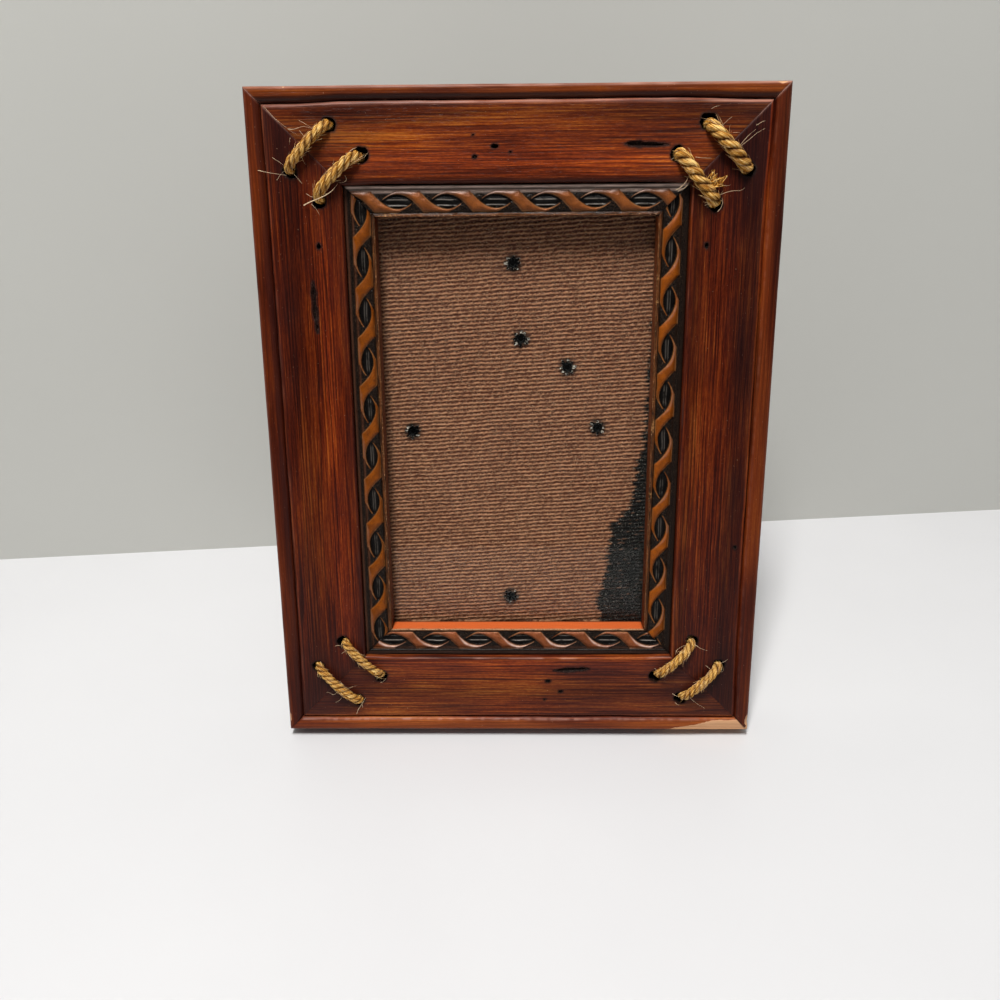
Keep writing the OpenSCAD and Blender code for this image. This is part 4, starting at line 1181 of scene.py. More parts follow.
# Long fibres: thickness, rise off the face, and their way over it as x, z
HAIRS = {
    "top_left_outer": (
        (0.08, 0.5, ((-79.3, 83.9), (-75.6, 83.1), (-72.2, 82.6), (-70.6, 82.4))),
        (0.06, 0.5, ((-74.5, 87.5), (-72.0, 86.0), (-71.0, 85.0))),
        (0.07, 0.9, ((-69.2, 95.7), (-67.5, 95.4), (-65.9, 95.9), (-64.3, 96.4), (-61.8, 95.7))),
        (0.05, 0.6, ((-65.7, 98.1), (-63.5, 96.9), (-61.3, 95.5))),
        (0.05, 0.4, ((-68.7, 93.2), (-69.0, 91.2))),
        (0.06, 0.7, ((-65.7, 95.2), (-64.5, 93.8), (-63.4, 92.6))),
        (0.06, 0.4, ((-65.4, 87.4), (-65.1, 86.2), (-64.3, 85.4))),
        (0.045, 0.3, ((-76.2, 102.2), (-72.9, 98.6), (-69.2, 95.7), (-66.0, 93.6))),
        (0.045, 0.5, ((-73.6, 81.0), (-71.8, 83.2), (-70.5, 84.0))),
        (0.045, 0.5, ((-66.0, 80.0), (-67.6, 82.2), (-69.0, 83.3))),
    ),
    "top_left_inner": (
        (0.20, 2.9, (
            (-65.8, 73.5), (-63.9, 74.3), (-62.0, 74.9), (-59.9, 75.6), (-57.8, 76.6), (-56.1, 78.0),
            (-54.9, 79.8),
        )),
        (0.12, 0.9, ((-51.0, 88.7), (-50.1, 89.5), (-48.7, 90.2))),
        (0.06, 0.5, ((-46.3, 87.3), (-45.1, 88.8))),
        (0.06, 0.5, ((-63.4, 73.9), (-61.8, 72.4), (-61.0, 70.5))),
        (0.05, 0.5, ((-64.8, 77.0), (-63.4, 76.0), (-61.8, 75.8))),
        (0.05, 0.4, ((-52.6, 82.2), (-51.8, 80.8), (-53.4, 79.9), (-55.0, 80.3))),
    ),
    "top_right_outer": (
        (0.07, 1.0, ((66.6, 88.4), (68.0, 90.3), (69.2, 91.8), (70.4, 93.0), (72.3, 94.3))),
        (0.07, 0.8, ((66.8, 88.6), (68.6, 90.1), (70.5, 91.6), (72.4, 93.2), (74.9, 94.5))),
        (0.08, 0.4, ((72.3, 95.4), (73.6, 96.3), (74.9, 96.7))),
        (0.10, 0.6, ((64.4, 86.6), (65.5, 85.9), (67.0, 85.6))),
        (0.05, 0.4, ((58.6, 100.2), (59.9, 100.9), (61.3, 101.1))),
        (0.06, 0.5, ((62.0, 95.4), (63.8, 97.2), (64.9, 97.9))),
        (0.05, 0.5, ((65.4, 93.4), (67.6, 93.4))),
    ),
    "top_right_inner": (
        (0.06, 0.5, ((54.4, 86.6), (55.8, 86.3), (59.4, 86.2))),
        (0.12, 0.8, ((48.9, 77.0), (50.6, 78.0), (51.8, 79.4), (52.6, 81.1), (53.0, 82.8))),
        (0.09, 0.6, ((49.6, 76.7), (51.5, 77.6), (52.6, 78.7), (53.0, 80.0))),
        (0.07, 0.7, ((62.6, 75.6), (64.5, 76.4), (66.8, 76.8), (68.6, 76.6), (69.9, 77.5))),
        (0.10, 0.6, ((62.0, 70.6), (63.0, 71.8), (63.4, 73.4), (63.2, 74.6))),
        (0.08, 0.4, ((58.0, 72.5), (58.8, 73.0), (60.1, 72.7), (59.9, 72.0), (58.6, 72.0))),
        (0.06, 0.5, ((62.4, 78.6), (64.0, 78.0), (65.6, 78.4))),
        (0.06, 0.4, ((47.2, 85.9), (47.9, 86.4))),
    ),
    "bottom_left_outer": (
        (0.09, 0.9, ((-57.9, -101.4), (-57.3, -99.4), (-55.9, -97.4), (-54.4, -94.9))),
        (0.08, 0.5, ((-55.7, -98.9), (-55.6, -97.1), (-56.3, -96.0))),
        (0.06, 0.6, ((-62.6, -91.2), (-60.3, -91.2), (-58.9, -90.4), (-57.3, -90.1))),
        (0.07, 0.6, ((-64.2, -92.4), (-65.7, -93.9), (-67.7, -92.4), (-68.4, -93.0))),
        (0.06, 0.4, ((-63.0, -95.0), (-64.0, -96.1), (-65.4, -96.9))),
        (0.05, 0.4, ((-69.9, -80.8), (-69.3, -81.4), (-68.9, -82.6))),
        (0.05, 0.4, ((-63.4, -88.6), (-62.2, -89.2), (-62.4, -90.4))),
    ),
    "bottom_left_inner": (
        (0.09, 0.4, ((-64.2, -74.9), (-62.9, -74.1), (-62.2, -74.9))),
        (0.06, 0.4, ((-62.1, -77.7), (-61.4, -77.0), (-59.9, -76.4))),
        (0.05, 0.4, ((-48.9, -89.1), (-47.6, -88.4), (-46.8, -87.4))),
    ),
    "bottom_right_outer": (
        (0.06, 0.6, ((66.3, -82.4), (67.6, -83.1), (68.9, -84.9))),
        (0.07, 0.4, ((55.0, -93.2), (56.0, -93.9), (57.8, -94.5))),
        (0.06, 0.7, ((60.8, -94.4), (62.0, -95.4), (63.9, -96.9), (66.7, -98.9))),
        (0.06, 0.4, ((56.1, -96.7), (57.0, -97.4), (57.8, -97.8))),
        (0.05, 0.5, ((70.9, -81.6), (71.9, -80.9), (73.9, -80.0))),
        (0.05, 0.4, ((71.6, -84.8), (72.6, -84.2))),
    ),
    "bottom_right_inner": (
        (0.06, 1.2, (
            (55.6, -78.0), (55.2, -77.0), (55.8, -75.6), (56.6, -74.9), (57.9, -74.3), (59.9, -74.4),
        )),
        (0.09, 0.5, ((61.2, -74.0), (62.1, -74.2), (63.7, -75.4), (66.4, -76.6))),
        (0.05, 0.4, ((48.3, -83.4), (49.0, -83.8), (49.9, -84.8))),
        (0.05, 0.5, ((55.6, -76.6), (56.1, -77.8), (57.0, -78.0))),
    ),
}
# The burst strand: its stitch, its roots from and to along the rope's side, and its tips
BURST_STITCH = "top_right_inner"
BURST_ROOTS = ((58.1, 80.2), (60.5, 77.0))
BURST_TIPS = ((60.0, 82.4), (61.2, 81.4), (62.2, 80.7), (64.1, 80.8), (63.0, 79.2), (63.4, 78.2))


def stitch_path(half, lift):
    """Centre line as distance along the chord and depth below the root."""
    crown = BEND_R + (half - BEND_R) / math.sin(SLOPE)
    rise = BEND_R * math.cos(SLOPE) + crown * (1 - math.cos(SLOPE))

    def bend(x, start, end):
        angles = np.radians(np.linspace(start, end, 16))
        return [(x + BEND_R * math.cos(a), BEND_R * math.sin(a)) for a in angles]

    over = np.radians(np.linspace(250, 290, 60)[1:-1])
    run = [(-half, t) for t in np.linspace(LEG, 0.3, 12)]
    run += bend(-half + BEND_R, 180, 250)
    run += [(crown * math.cos(a), crown * math.sin(a) + crown - rise) for a in over]
    run += bend(half - BEND_R, 290, 360)
    run += [(half, t) for t in np.linspace(0.3, LEG, 12)]
    run = np.array(run)
    run[:, 1] = np.where(run[:, 1] < 0, run[:, 1] * lift * 0.985, run[:, 1])
    return run


def evenly(line, spacing):
    """The same line with points at even distances, and those distances."""
    line = np.asarray(line, float)
    lengths = np.concatenate([[0], np.cumsum(np.linalg.norm(np.diff(line, axis=0), axis=1))])
    at = np.linspace(0, lengths[-1], max(3, int(lengths[-1] / spacing)))
    return np.stack([np.interp(at, lengths, line[:, k]) for k in range(line.shape[1])], 1), at


def unit(vectors):
    return vectors / np.maximum(np.linalg.norm(vectors, axis=-1, keepdims=True), 1e-9)


class Tubes:
    """Gathers tubes into one mesh."""

    def __init__(self):
        self.points, self.faces = [], []
        self.masks = {"fibre": [], "crevice_shade": [], "pale": []}
        self.count = 0

    def tube(self, centre, side, other, radii, fibre, crevice_shade=0.0, pale=0.0):
        """centre is n points; side and other their cross axes; radii is n by m; the next value is painted
        shade where strands meet.
        """
        angle = np.linspace(0, TURN, radii.shape[1], endpoint=False)
        ring = side[:, None] * np.cos(angle)[None, :, None] + other[:, None] * np.sin(angle)[None, :, None]
        self.points.append((centre[:, None] + ring * radii[:, :, None]).reshape(-1, 3))
        self.masks["fibre"].append(fibre.reshape(-1, 3))
        self.masks["crevice_shade"].append((radii * 0 + crevice_shade).ravel())
        self.masks["pale"].append((radii * 0 + pale).ravel())
        ids = self.count + np.arange(radii.size).reshape(radii.shape)
        self.faces += tube_faces(ids)
        self.faces.append(ids[0][::-1].tolist())
        self.faces.append(ids[-1].tolist())
        self.count += radii.size

    def hair(self, line, radius, seed, pale=1.0):
        """A loose fibre, thinner towards its end."""
        line, at = evenly(line, SPACING)
        tangent = unit(np.gradient(line, axis=0))
        side = unit(np.cross(tangent, (0.31, 0.87, 0.38)))
        taper = radius * (1 - 0.75 * (at / at[-1])) * (1 + 0.2 * drift(at * 2, 0, seed))
        radii = np.repeat(taper[:, None], 5, 1)
        along = np.repeat(at[:, None], 5, 1)
        fibre = np.stack([along * 0 + seed, along * 0, along * 0.2], -1)
        self.tube(line, side, np.cross(tangent, side), radii, fibre, pale=pale)

    def mesh(self, name):
        masks = {key: np.concatenate(parts) for key, parts in self.masks.items()}
        return lay_mesh(name, np.concatenate(self.points), self.faces, sharp=60, masks=masks)


class Stitch(Tubes):
    """One stitch from a to b on the frame's face, as x and z."""

    def __init__(self, a, b, look, seed):
        super().__init__()
        self.seed = seed
        self.rand = np.random.RandomState(seed)
        self.radius, self.lay, lift, sway = look
        a, b = np.array(a), np.array(b)
        half = np.hypot(*(b - a)) / 2
        chord = (b - a) / (2 * half)
        cross = np.array((-chord[1], 0, chord[0]))
        path, self.at = evenly(stitch_path(half, lift), SPACING)
        x, z = ((a + b) / 2)[:, None] + chord[:, None] * path[:, 0]
        # It lies a little unevenly between its ends.
        share = self.at / self.at[-1]
        near_ends = smooth_step(3, 9, self.at) * smooth_step(3, 9, self.at[-1] - self.at)
        sideways = (0.2 * drift(self.at / 7, 0, seed) + sway * np.sin(math.pi * share ** 0.7)) * near_ends
        self.centre = np.stack([x, STITCH_ROOT + path[:, 1], z], 1) + sideways[:, None] * cross
        self.tangent = unit(np.gradient(self.centre, axis=0))
        self.lateral = np.repeat(cross[None], len(self.at), 0)
        self.upward = np.cross(self.tangent, self.lateral)

    def beside(self, index, off, turn):
        """Places at a distance from the rope's middle, turned round it."""
        way = np.cos(turn)[:, None] * self.upward[index] + np.sin(turn)[:, None] * self.lateral[index]
        return self.centre[index] + off[:, None] * way

    def strand(self, number):
        """A strand twisted against the lay, so that its yarns run nearly along the rope."""
        at, seed, radius = self.at, self.seed, self.radius
        strand_off, strand_r = 0.52 * radius, 0.50 * radius
        lay = TURN * (at / self.lay + number / 3) + 0.35 * drift(at / 5, number, seed + 1)
        swell = 1 + 0.06 * drift(at / 3.5, number * 3, seed + 21)
        line = self.beside(slice(None), strand_off * swell, lay)
        direction = unit(np.gradient(line, axis=0))
        side = unit(line - self.centre)
        side = unit(side - direction * np.sum(side * direction, 1)[:, None])
        angle = np.linspace(0, TURN, STRAND_TURNS, endpoint=False)[None, :]
        along = np.repeat(at[:, None], STRAND_TURNS, 1)
        twist = angle - (1.02 * radius * TURN / self.lay - 0.3) / strand_r * at[:, None]
        yarn = twist * YARNS / TURN
        thickness = self.rand.uniform(-0.07, 0.07, YARNS)[np.floor(yarn).astype(int) % YARNS]
        lump = 0.10 * drift(along / 2.2, yarn * 0.5, seed + 2 + number)
        fine = 0.06 * drift(along / 0.9, twist * 5, seed + 12 + number)
        radii = 0.92 + 0.11 * np.abs(np.sin(twist * YARNS / 2)) + thickness + lump + fine
        radii = strand_r * (1 - 0.10 * np.cos(angle)) * radii
        fibre = np.stack([3.4 * np.cos(twist) + number * 7, 3.4 * np.sin(twist), along * 0.12], -1)
        # How far a spot is from the rope's middle, against its outside
        reach = np.hypot(strand_off + radii * np.cos(angle), radii * np.sin(angle)) / radius
        # Painted shade in the crevices where the strands meet
        crevice_shade = 1 - smooth_step(0.72, 1.0, reach)
        self.tube(line, side, np.cross(direction, side), radii, fibre, crevice_shade)

    def short_fibres(self):
        """Loose fibres all round, which follow the lay and then stand off."""
        rand, steps = self.rand, np.linspace(0, 1, 9)
        for n in range(40):
            start = rand.randint(14, len(self.at) - 20)
            phase = rand.uniform(0, TURN)
            length = rand.uniform(1.6, 4.6)
            index = np.clip(start + (steps * length / SPACING * 0.7).astype(int), 0, len(self.at) - 1)
            off = self.radius * (0.94 + 0.10 * steps + rand.uniform(0.0, 0.7) * steps ** 2.2)
            line = self.beside(index, off, phase + steps * length * 0.2)
            line = line + np.outer(steps, self.tangent[start]) * 0.3
            self.hair(line, rand.uniform(0.045, 0.08), self.seed * 50 + n, 0.5)

    def long_fibres(self, hairs):
        for n, (thick, rise, way) in enumerate(hairs):
            line, reach = evenly([(x, 0, z) for x, z in way], 0.35)
            for _ in range(4):
                line[1:-1] = (line[:-2] + line[1:-1] + line[2:]) / 3
            line[:, 1] = -0.2 - rise * np.sin(math.pi * reach / reach[-1])
            self.hair(line, thick, self.seed * 90 + n)

    def burst_strand(self):
        """Fibres fan out from the rope's side."""
        rand, steps = self.rand, np.linspace(0, 1, 12)[:, None]
        first, last = np.array(BURST_ROOTS)
        for n in range(46):
            root = first + (last - first) * rand.uniform(0, 1)
            tip = np.array(BURST_TIPS[n % len(BURST_TIPS)]) + rand.uniform(-0.5, 0.5, 2)
            flat = root * (1 - steps) + tip * steps
            flat = flat + np.sin(steps * rand.uniform(2, 5)) * rand.uniform(-0.35, 0.35, 2)
            depth = -1.5 + 1.1 * steps[:, 0] - rand.uniform(0.2, 1.3) * np.sin(math.pi * steps[:, 0])
            line = np.stack([flat[:, 0], depth, flat[:, 1]], 1)
            self.hair(line, rand.uniform(0.08, 0.15), self.seed * 70 + n, 0.0)


def rope_material():
    p = Paint("sisal_rope")
    fibre = p.vector("fibre")
    fine = p.noise(p.node("VectorMath", {0: fibre, 1: (2.6, 2.6, 2.6)}, operation="MULTIPLY"), 3.0, 0.65)
    wide = p.noise(p.node("VectorMath", {0: fibre, 1: (0.8, 0.8, 2.5)}, operation="MULTIPLY"), 2.0)
    place = p.cloud(3.2, 2.0)
    colour = p.ramp(
        p.weigh((fine, 0.68), (wide, 0.32)),
        (0.39, rgb(66, 33, 6)),
        (0.46, rgb(148, 90, 22)),
        (0.52, rgb(217, 154, 58)),
        (0.59, rgb(252, 224, 152)),
    )
    colour = p.mix(p.times(p.step(place, 0.5, 0.75), 0.35), colour, rgb(142, 80, 22))
    pale = p.mix(fine, rgb(196, 168, 130), rgb(250, 230, 200))
    colour = p.mix(p.times(p.mask("pale"), 0.8), colour, pale)
    # Painted shade darkens the crevices where the strands meet.
    hollow = p.times(p.mask("crevice_shade"), p.step(place, 0.35, 0.6, 0.6, 0.96))
    return p.surface(
        Base_Color=p.mix(hollow, colour, rgb(68, 29, 4)), Roughness=0.62, Normal=p.bump(fine, 0.10),
        Specular_IOR_Level=0.12, IOR=1.45,
    )


rope = rope_material()
for number, (place, (first_end, _, last_end, _)) in enumerate(STITCHES.items()):
    stitch = Stitch(first_end, last_end, STITCH_LOOKS[place], 500 + number)
    for strand in range(3):
        stitch.strand(strand)
    stitch.short_fibres()
    stitch.long_fibres(HAIRS[place])
    if place == BURST_STITCH:
        stitch.burst_strand()
    fit(stitch.mesh("stitch_" + place + "_rope"), "frame", "sisal_rope", rope, "stitch_" + place)


# Board behind the glass: pressed with short ridges, sprayed black from behind
BOARD_HALF_W = 50.6
BOARD_HALF_H = 76.0
# Rows of ridges: slant, distance from row to row, and length of a dash
ROW_SLANT = math.tan(math.radians(3.6))
ROW_PITCH = 1.33
DASH = 2.1
# Radius of the eyelets' holes, and how far the painted shadow round them reaches
HOLE_R = 1.62
SHADOW_R = 2.5
# Points on the left edge of the black, as z and x
PAINT_EDGE = (
    (-70.5, 30.0), (-64.0, 28.1), (-58.0, 30.9), (-51.0, 31.8), (-35.3, 32.8), (-30.0, 37.3),
    (-25.0, 41.3), (-16.0, 41.0), (-9.0, 42.6), (4.0, 44.0), (34.0, 45.0), (60.0, 49.0), (76.0, 50.5),
)


def own_points(node):
    """A CAD node's points in the frame's own axes, in millimetres."""
    return np.array([(UNLEAN @ v.co)[:] for v in nodes[node].data.vertices]) / MM


def eyelet_place(node, points):
    """An eyelet's node, the x and z of its middle, and the depth of its head's back."""
    middle = (points.min(0) + points.max(0)) / 2
    return node, middle[0], middle[2], points[:, 1].max()


EYELET_NODES = ("eyelet_left", "eyelet_bottom", "eyelet_top", "eyelet_right")
eyelets = [eyelet_place(node, own_points(node)) for node in EYELET_NODES]
hinge_points = own_points("hinge_eyelets")
on_left = hinge_points[:, 0] < (hinge_points[:, 0].min() + hinge_points[:, 0].max()) / 2
for part in (on_left, ~on_left):
    eyelets.append(eyelet_place("hinge_eyelets", hinge_points[part]))


def pressed_ridges(x, z):
    """Rows that slant up to the right, each of short dashes, staggered like bricks: row and height."""
    across = (z - x * ROW_SLANT) / ROW_PITCH + 0.16 * drift(x / 7, z / 5, 900)
    row = np.floor(across)
    dash = x / DASH + row * 0.5 + 0.8 * drift(x / 4, row, 901)
    wavy = across - row + 0.10 * np.sin(TURN * dash + 0.8)
    ridge = (0.5 - 0.5 * np.cos(TURN * np.clip(wavy, 0, 1))) ** 1.3
    dash = 0.5 - 0.5 * np.cos(TURN * dash)
    return row, ridge * (0.72 + 0.28 * dash) * (1 + 0.45 * drift(x / 1.1, z / 0.6, 902))


def overspray(x, z, row, height):
    """How black the board is: a ragged edge, spots beyond it, and ridges rubbed through."""
    edge = np.interp(z, *zip(*PAINT_EDGE))
    ragged = 1.0 * drift(0, row, 904) + 0.6 * drift(x / 1.2, z / 0.5, 905) + 0.8 * (1 - height)
    paint = smooth_step(-0.5, 0.5, x - edge + ragged - 0.4)
    spots = smooth_step(0.55, 0.75, drift(x / 0.9, z / 0.5, 906)) * fade(edge - x, 2.0)
    paint = np.maximum(paint, spots * 0.8)
    rubbed = smooth_step(0.45, 0.8, drift(x / 0.8, z / 0.4, 907)) * smooth_step(0.5, 0.9, height)
    return paint * (1 - 0.5 * rubbed)


def board_front():
    """The front as a grid: x, depth and z, which of its points are not in a hole, and its masks."""
    xs = np.concatenate([[-BOARD_HALF_W, -48.0], np.linspace(-45.0, 45.0, 121), [48.0, BOARD_HALF_W]])
    zs = np.concatenate([[-BOARD_HALF_H, -73.5], np.linspace(-70.6, 70.6, 429), [73.5, BOARD_HALF_H]])
    x, z = np.meshgrid(xs, zs, indexing="ij")
    row, height = pressed_ridges(x, z)
    depth = BOARD_FRONT + 0.42 * (1 - np.clip(height, 0, 1))
    depth = depth + 0.04 * (1 + drift(x / 9, z / 9, 903))
    paint = overspray(x, z, row, height)
    rust = np.zeros_like(x)
    opened = np.zeros_like(x, bool)
    for _, cx, cz, _ in eyelets:
        r = np.hypot(x - cx, z - cz)
        inside = r < HOLE_R
        rim = widened(inside) & ~inside
        scale = np.where(rim, HOLE_R / np.maximum(r, 0.1), 1)
        x = cx + (x - cx) * scale
        z = cz + (z - cz) * scale
        opened |= inside
        # A painted shadow round each eyelet, kept in the rust mask, which is not rust; the board also sinks
        # a little there.
        near = fade(np.hypot(x - cx, z - cz) - SHADOW_R, 0.45)
        rust = np.maximum(rust, near)
        depth = depth - 0.10 * near * (1 - opened)
    return x, depth, z, ~opened, {"paint": paint, "rust": rust, "ridge": height}


def closed_board(x, depth, z, kept):
    """A solid with that front, straight walls and a flat back."""
    solid = bmesh.new()
    corners = {}
    for i, j in np.argwhere(kept).tolist():
        corners[i, j] = solid.verts.new((x[i, j] * MM, depth[i, j] * MM, z[i, j] * MM))
    for i, j in corners:
        cell = [(i, j), (i + 1, j), (i + 1, j + 1), (i, j + 1)]
        if all(corner in corners for corner in cell):
            solid.faces.new([corners[corner] for corner in cell])
    for loose in [v for v in solid.verts if not v.link_faces]:
        solid.verts.remove(loose)
    solid.verts.index_update()
    rim = [e for e in solid.edges if len(e.link_faces) == 1]
    made = bmesh.ops.extrude_edge_only(solid, edges=rim)["geom"]
    behind = {part for part in made if isinstance(part, bmesh.types.BMVert)}
    for vert in behind:
        vert.co.y = BOARD_BACK * MM
    edges = [part for part in made if isinstance(part, bmesh.types.BMEdge)]
    back_edges = [edge for edge in edges if behind.issuperset(edge.verts)]
    bmesh.ops.triangle_fill(solid, use_beauty=True, edges=back_edges)
    bmesh.ops.recalc_face_normals(solid, faces=solid.faces)
    return solid


def unwrap_board(solid):
    """The front fills most of the UV map, the back a strip beside it, and the walls a narrower one."""
    layer = solid.loops.layers.uv.new("OFBake")
    for face in solid.faces:
        front = max(v.co.y for v in face.verts) < (BOARD_FRONT + 0.6) * MM
        behind = min(v.co.y for v in face.verts) > (BOARD_BACK - 0.1) * MM
        for loop in face.loops:
            co = loop.vert.co / MM
            across = (co.x + BOARD_HALF_W) / 2 / BOARD_HALF_W
            up = (co.z + BOARD_HALF_H) / 2 / BOARD_HALF_H
            if front:
                loop[layer].uv = (0.78 * across, up)
            elif behind:
                loop[layer].uv = (0.80 + 0.14 * across, up)
            else:
                loop[layer].uv = (0.96 + 0.03 * (co.y - BOARD_FRONT) / 3, (across + up) / 2)


def make_board():
    x, depth, z, kept, masks = board_front()
    solid = closed_board(x, depth, z, kept)
    unwrap_board(solid)
    mesh = bpy.data.meshes.new("backing_board_pressed")
    solid.to_mesh(mesh)
    solid.free()
    co = np.zeros(len(mesh.vertices) * 3)
    mesh.vertices.foreach_get("co", co)
    co = co.reshape(-1, 3) / MM
    # The solid numbers its points anew, so their masks are found by x and z.
    fields = zip(x[kept], z[kept], *(values[kept] for values in masks.values()))
    found = {(round(a, 3), round(b, 3)): values for a, b, *values in fields}
    black = [1, 0, 0]
    values = np.array([found.get((round(a, 3), round(b, 3)), black) for a, _, b in co])
    values[co[:, 1] > BOARD_BACK - 0.1] = black
    for name, column in zip(masks, values.T):
        add_mask(mesh, name, column)
    return stand_up(mesh, 50)


def board_material():
    p = Paint("pressed_hardboard")
    fibre = p.noise(p.stretch(1.6, 0.5, 0.35), 3.0, 0.65)
    cloud = p.cloud(26, 3.0, 0.6)
    speck = p.noise(p.stretch(0.4, 0.4, 0.3), 2.0, 0.6)
    ridge = p.mask("ridge")
    high = p.mix(cloud, rgb(177, 113, 81), rgb(207, 146, 109))
    low = p.mix(cloud, rgb(80, 40, 26), rgb(104, 57, 39))
    colour = p.mix(p.step(p.plus(ridge, p.centred(fibre, 0.8)), 0.15, 0.85), low, high)
    colour = p.mix(p.times(p.step(speck, 0.56, 0.68), 0.55), colour, rgb(226, 180, 145))
    colour = p.mix(p.times(p.step(speck, 0.44, 0.34), 0.45), colour, rgb(84, 44, 28))
    lit = p.step(p.plus(ridge, p.times(speck, 0.6)), 0.85, 1.35)
    black = p.mix(lit, rgb(12, 8, 7), rgb(46, 36, 33))
    black = p.mix(p.times(p.step(speck, 0.63, 0.69), 0.85), black, rgb(178, 168, 158))
    colour = p.mix(p.mask("paint"), colour, black)
    # The rust mask is a painted shadow round the eyelets.
    colour = p.mix(p.times(p.mask("rust"), 0.85), colour, rgb(30, 19, 15))
    rough = p.step(fibre, 0.3, 0.7, 0.55, 0.8)
    return p.surface(Base_Color=colour, Roughness=rough, Normal=p.bump(fibre, 0.12), Specular_IOR_Level=0.2)


fit(make_board(), "frame", "hardboard", board_material(), "backing_board")


# Eyelets: a tube with a rolled head behind and eight torn petals in front
EYELET_TURNS = 64
PETALS = 8
TUBE_FRONT = BOARD_FRONT - 0.05
TUBE_MIDDLE = 14.0
OUTER_R = 1.45
BORE_R = 1.0
# The head's thickness, and the way over it as depth behind its front and radius
HEAD_T = 0.5
HEAD_ROLL = (
    (0.0, 2.0), (0.0, 2.55), (0.10, 2.76), (0.28, 2.8), (0.44, 2.62),
    (0.5, 2.25), (0.46, 1.75), (0.36, 1.3), (0.15, 1.06),
)
# The stub that closes the bore, painted black as a stand-in for the shadow in it: its two depths and its
# radius
STUB = (14.3, 14.7)
STUB_R = 0.99
# A petal: rows of points from root to tip, thickness, how far each point is from its middle line,
# and the order of a row's points round the petal
PETAL_ROWS = 7
PETAL_T = 0.14
PETAL_ACROSS = (-1, -0.4, 0.4, 1)
PETAL_ROUND = (0, 1, 2, 3, 7, 6, 5, 4)


class Eyelet:
    """One eyelet with its middle at x and z."""

    def __init__(self, x, z, head_back, seed):
        self.x, self.z = x, z
        self.points, self.faces = [], []
        self.rand = np.random.RandomState(seed)
        self.tube(head_back - HEAD_T)
        self.stub()
        for number in range(PETALS):
            self.petal(number)

    def point(self, angle, radius, depth):
        self.points.append((self.x + radius * math.cos(angle), depth, self.z + radius * math.sin(angle)))

    def rings(self, section):
        """Rings of points for a section of depths and radii; gives back their numbers."""
        first = len(self.points)
        for depth, radius in section:
            for angle in np.linspace(0, TURN, EYELET_TURNS, endpoint=False):
                self.point(angle, radius, depth)
        return np.arange(first, len(self.points)).reshape(-1, EYELET_TURNS)

    def tube(self, head):
        section = [(TUBE_FRONT, 1.42), (TUBE_MIDDLE, OUTER_R), (head - 0.02, OUTER_R)]
        section += [(head + behind, radius) for behind, radius in HEAD_ROLL]
        section += [(head - 0.3, BORE_R), (TUBE_MIDDLE, BORE_R), (TUBE_FRONT, BORE_R)]
        self.faces += tube_faces(self.rings(section))

    def stub(self):
        ids = self.rings((depth, STUB_R) for depth in STUB)
        self.faces += ids.tolist() + tube_faces(ids)

    def petal(self, number):
        """A thin curled tongue with a ragged tip."""
        rand = self.rand
        half_sector = TURN / PETALS / 2
        centre = number * TURN / PETALS + rand.uniform(-0.08, 0.08)
        reach = rand.uniform(2.3, 3.15)
        lift = rand.uniform(0.15, 0.5)
        lean = rand.uniform(-0.15, 0.15)
        first = len(self.points)
        for t in np.linspace(0, 1, PETAL_ROWS):
            radius = BORE_R + (reach - BORE_R) * t ** 0.9
            depth = TUBE_FRONT - 0.34 * math.sin(math.pi * min(t * 1.1, 1)) - lift * t ** 3
            width = half_sector * 0.96 * (1 - t ** 1.4 * rand.uniform(0.75, 0.92))
            for thick in (0.0, PETAL_T):
                for u in PETAL_ACROSS:
                    self.point(centre + u * width + lean * t, radius, depth - thick - 0.10 * (u * u) * t)
        ids = np.arange(first, len(self.points)).reshape(PETAL_ROWS, -1)[:, PETAL_ROUND]
        self.faces += tube_faces(ids)
        self.faces += [ids[0].tolist(), ids[-1][::-1].tolist()]

    def build(self, name):
        x, depth, z = np.array(self.points).T
        radius = np.hypot(x - self.x, z - self.z)
        ahead = depth < BOARD_FRONT + 1.9
        # Painted shade, black, in and round the bore and on the stub
        bore_shade = (1 - smooth_step(1.45, 1.8, radius)) * ahead
        masks = {"bore_shade": bore_shade, "tip": smooth_step(1.6, 1.9, radius) * ahead}
        piece = lay_mesh(name, self.points, self.faces, sharp=40, masks=masks)
        fix = bmesh.new()
        fix.from_mesh(piece.data)
        bmesh.ops.recalc_face_normals(fix, faces=fix.faces)
        fix.to_mesh(piece.data)
        fix.free()
        return piece


# Steels: light, dark and rust colour, least and most roughness, share of rust, and size of the marks
STEELS = {
    "aged_steel": (rgb(104, 98, 98), rgb(30, 26, 26), rgb(70, 38, 22), 0.28, 0.55, 0.20, 1.0),
    "aged_steel_burst": (rgb(40, 34, 32), rgb(9, 8, 8), rgb(34, 18, 12), 0.34, 0.6, 0.20, 1.0),
    "plated_steel": (rgb(196, 196, 198), rgb(150, 150, 154), rgb(122, 80, 50), 0.22, 0.42, 0.06, 2.0),
    "plain_steel": (rgb(170, 168, 168), rgb(110, 106, 104), rgb(110, 66, 40), 0.30, 0.50, 0.12, 1.0),
}


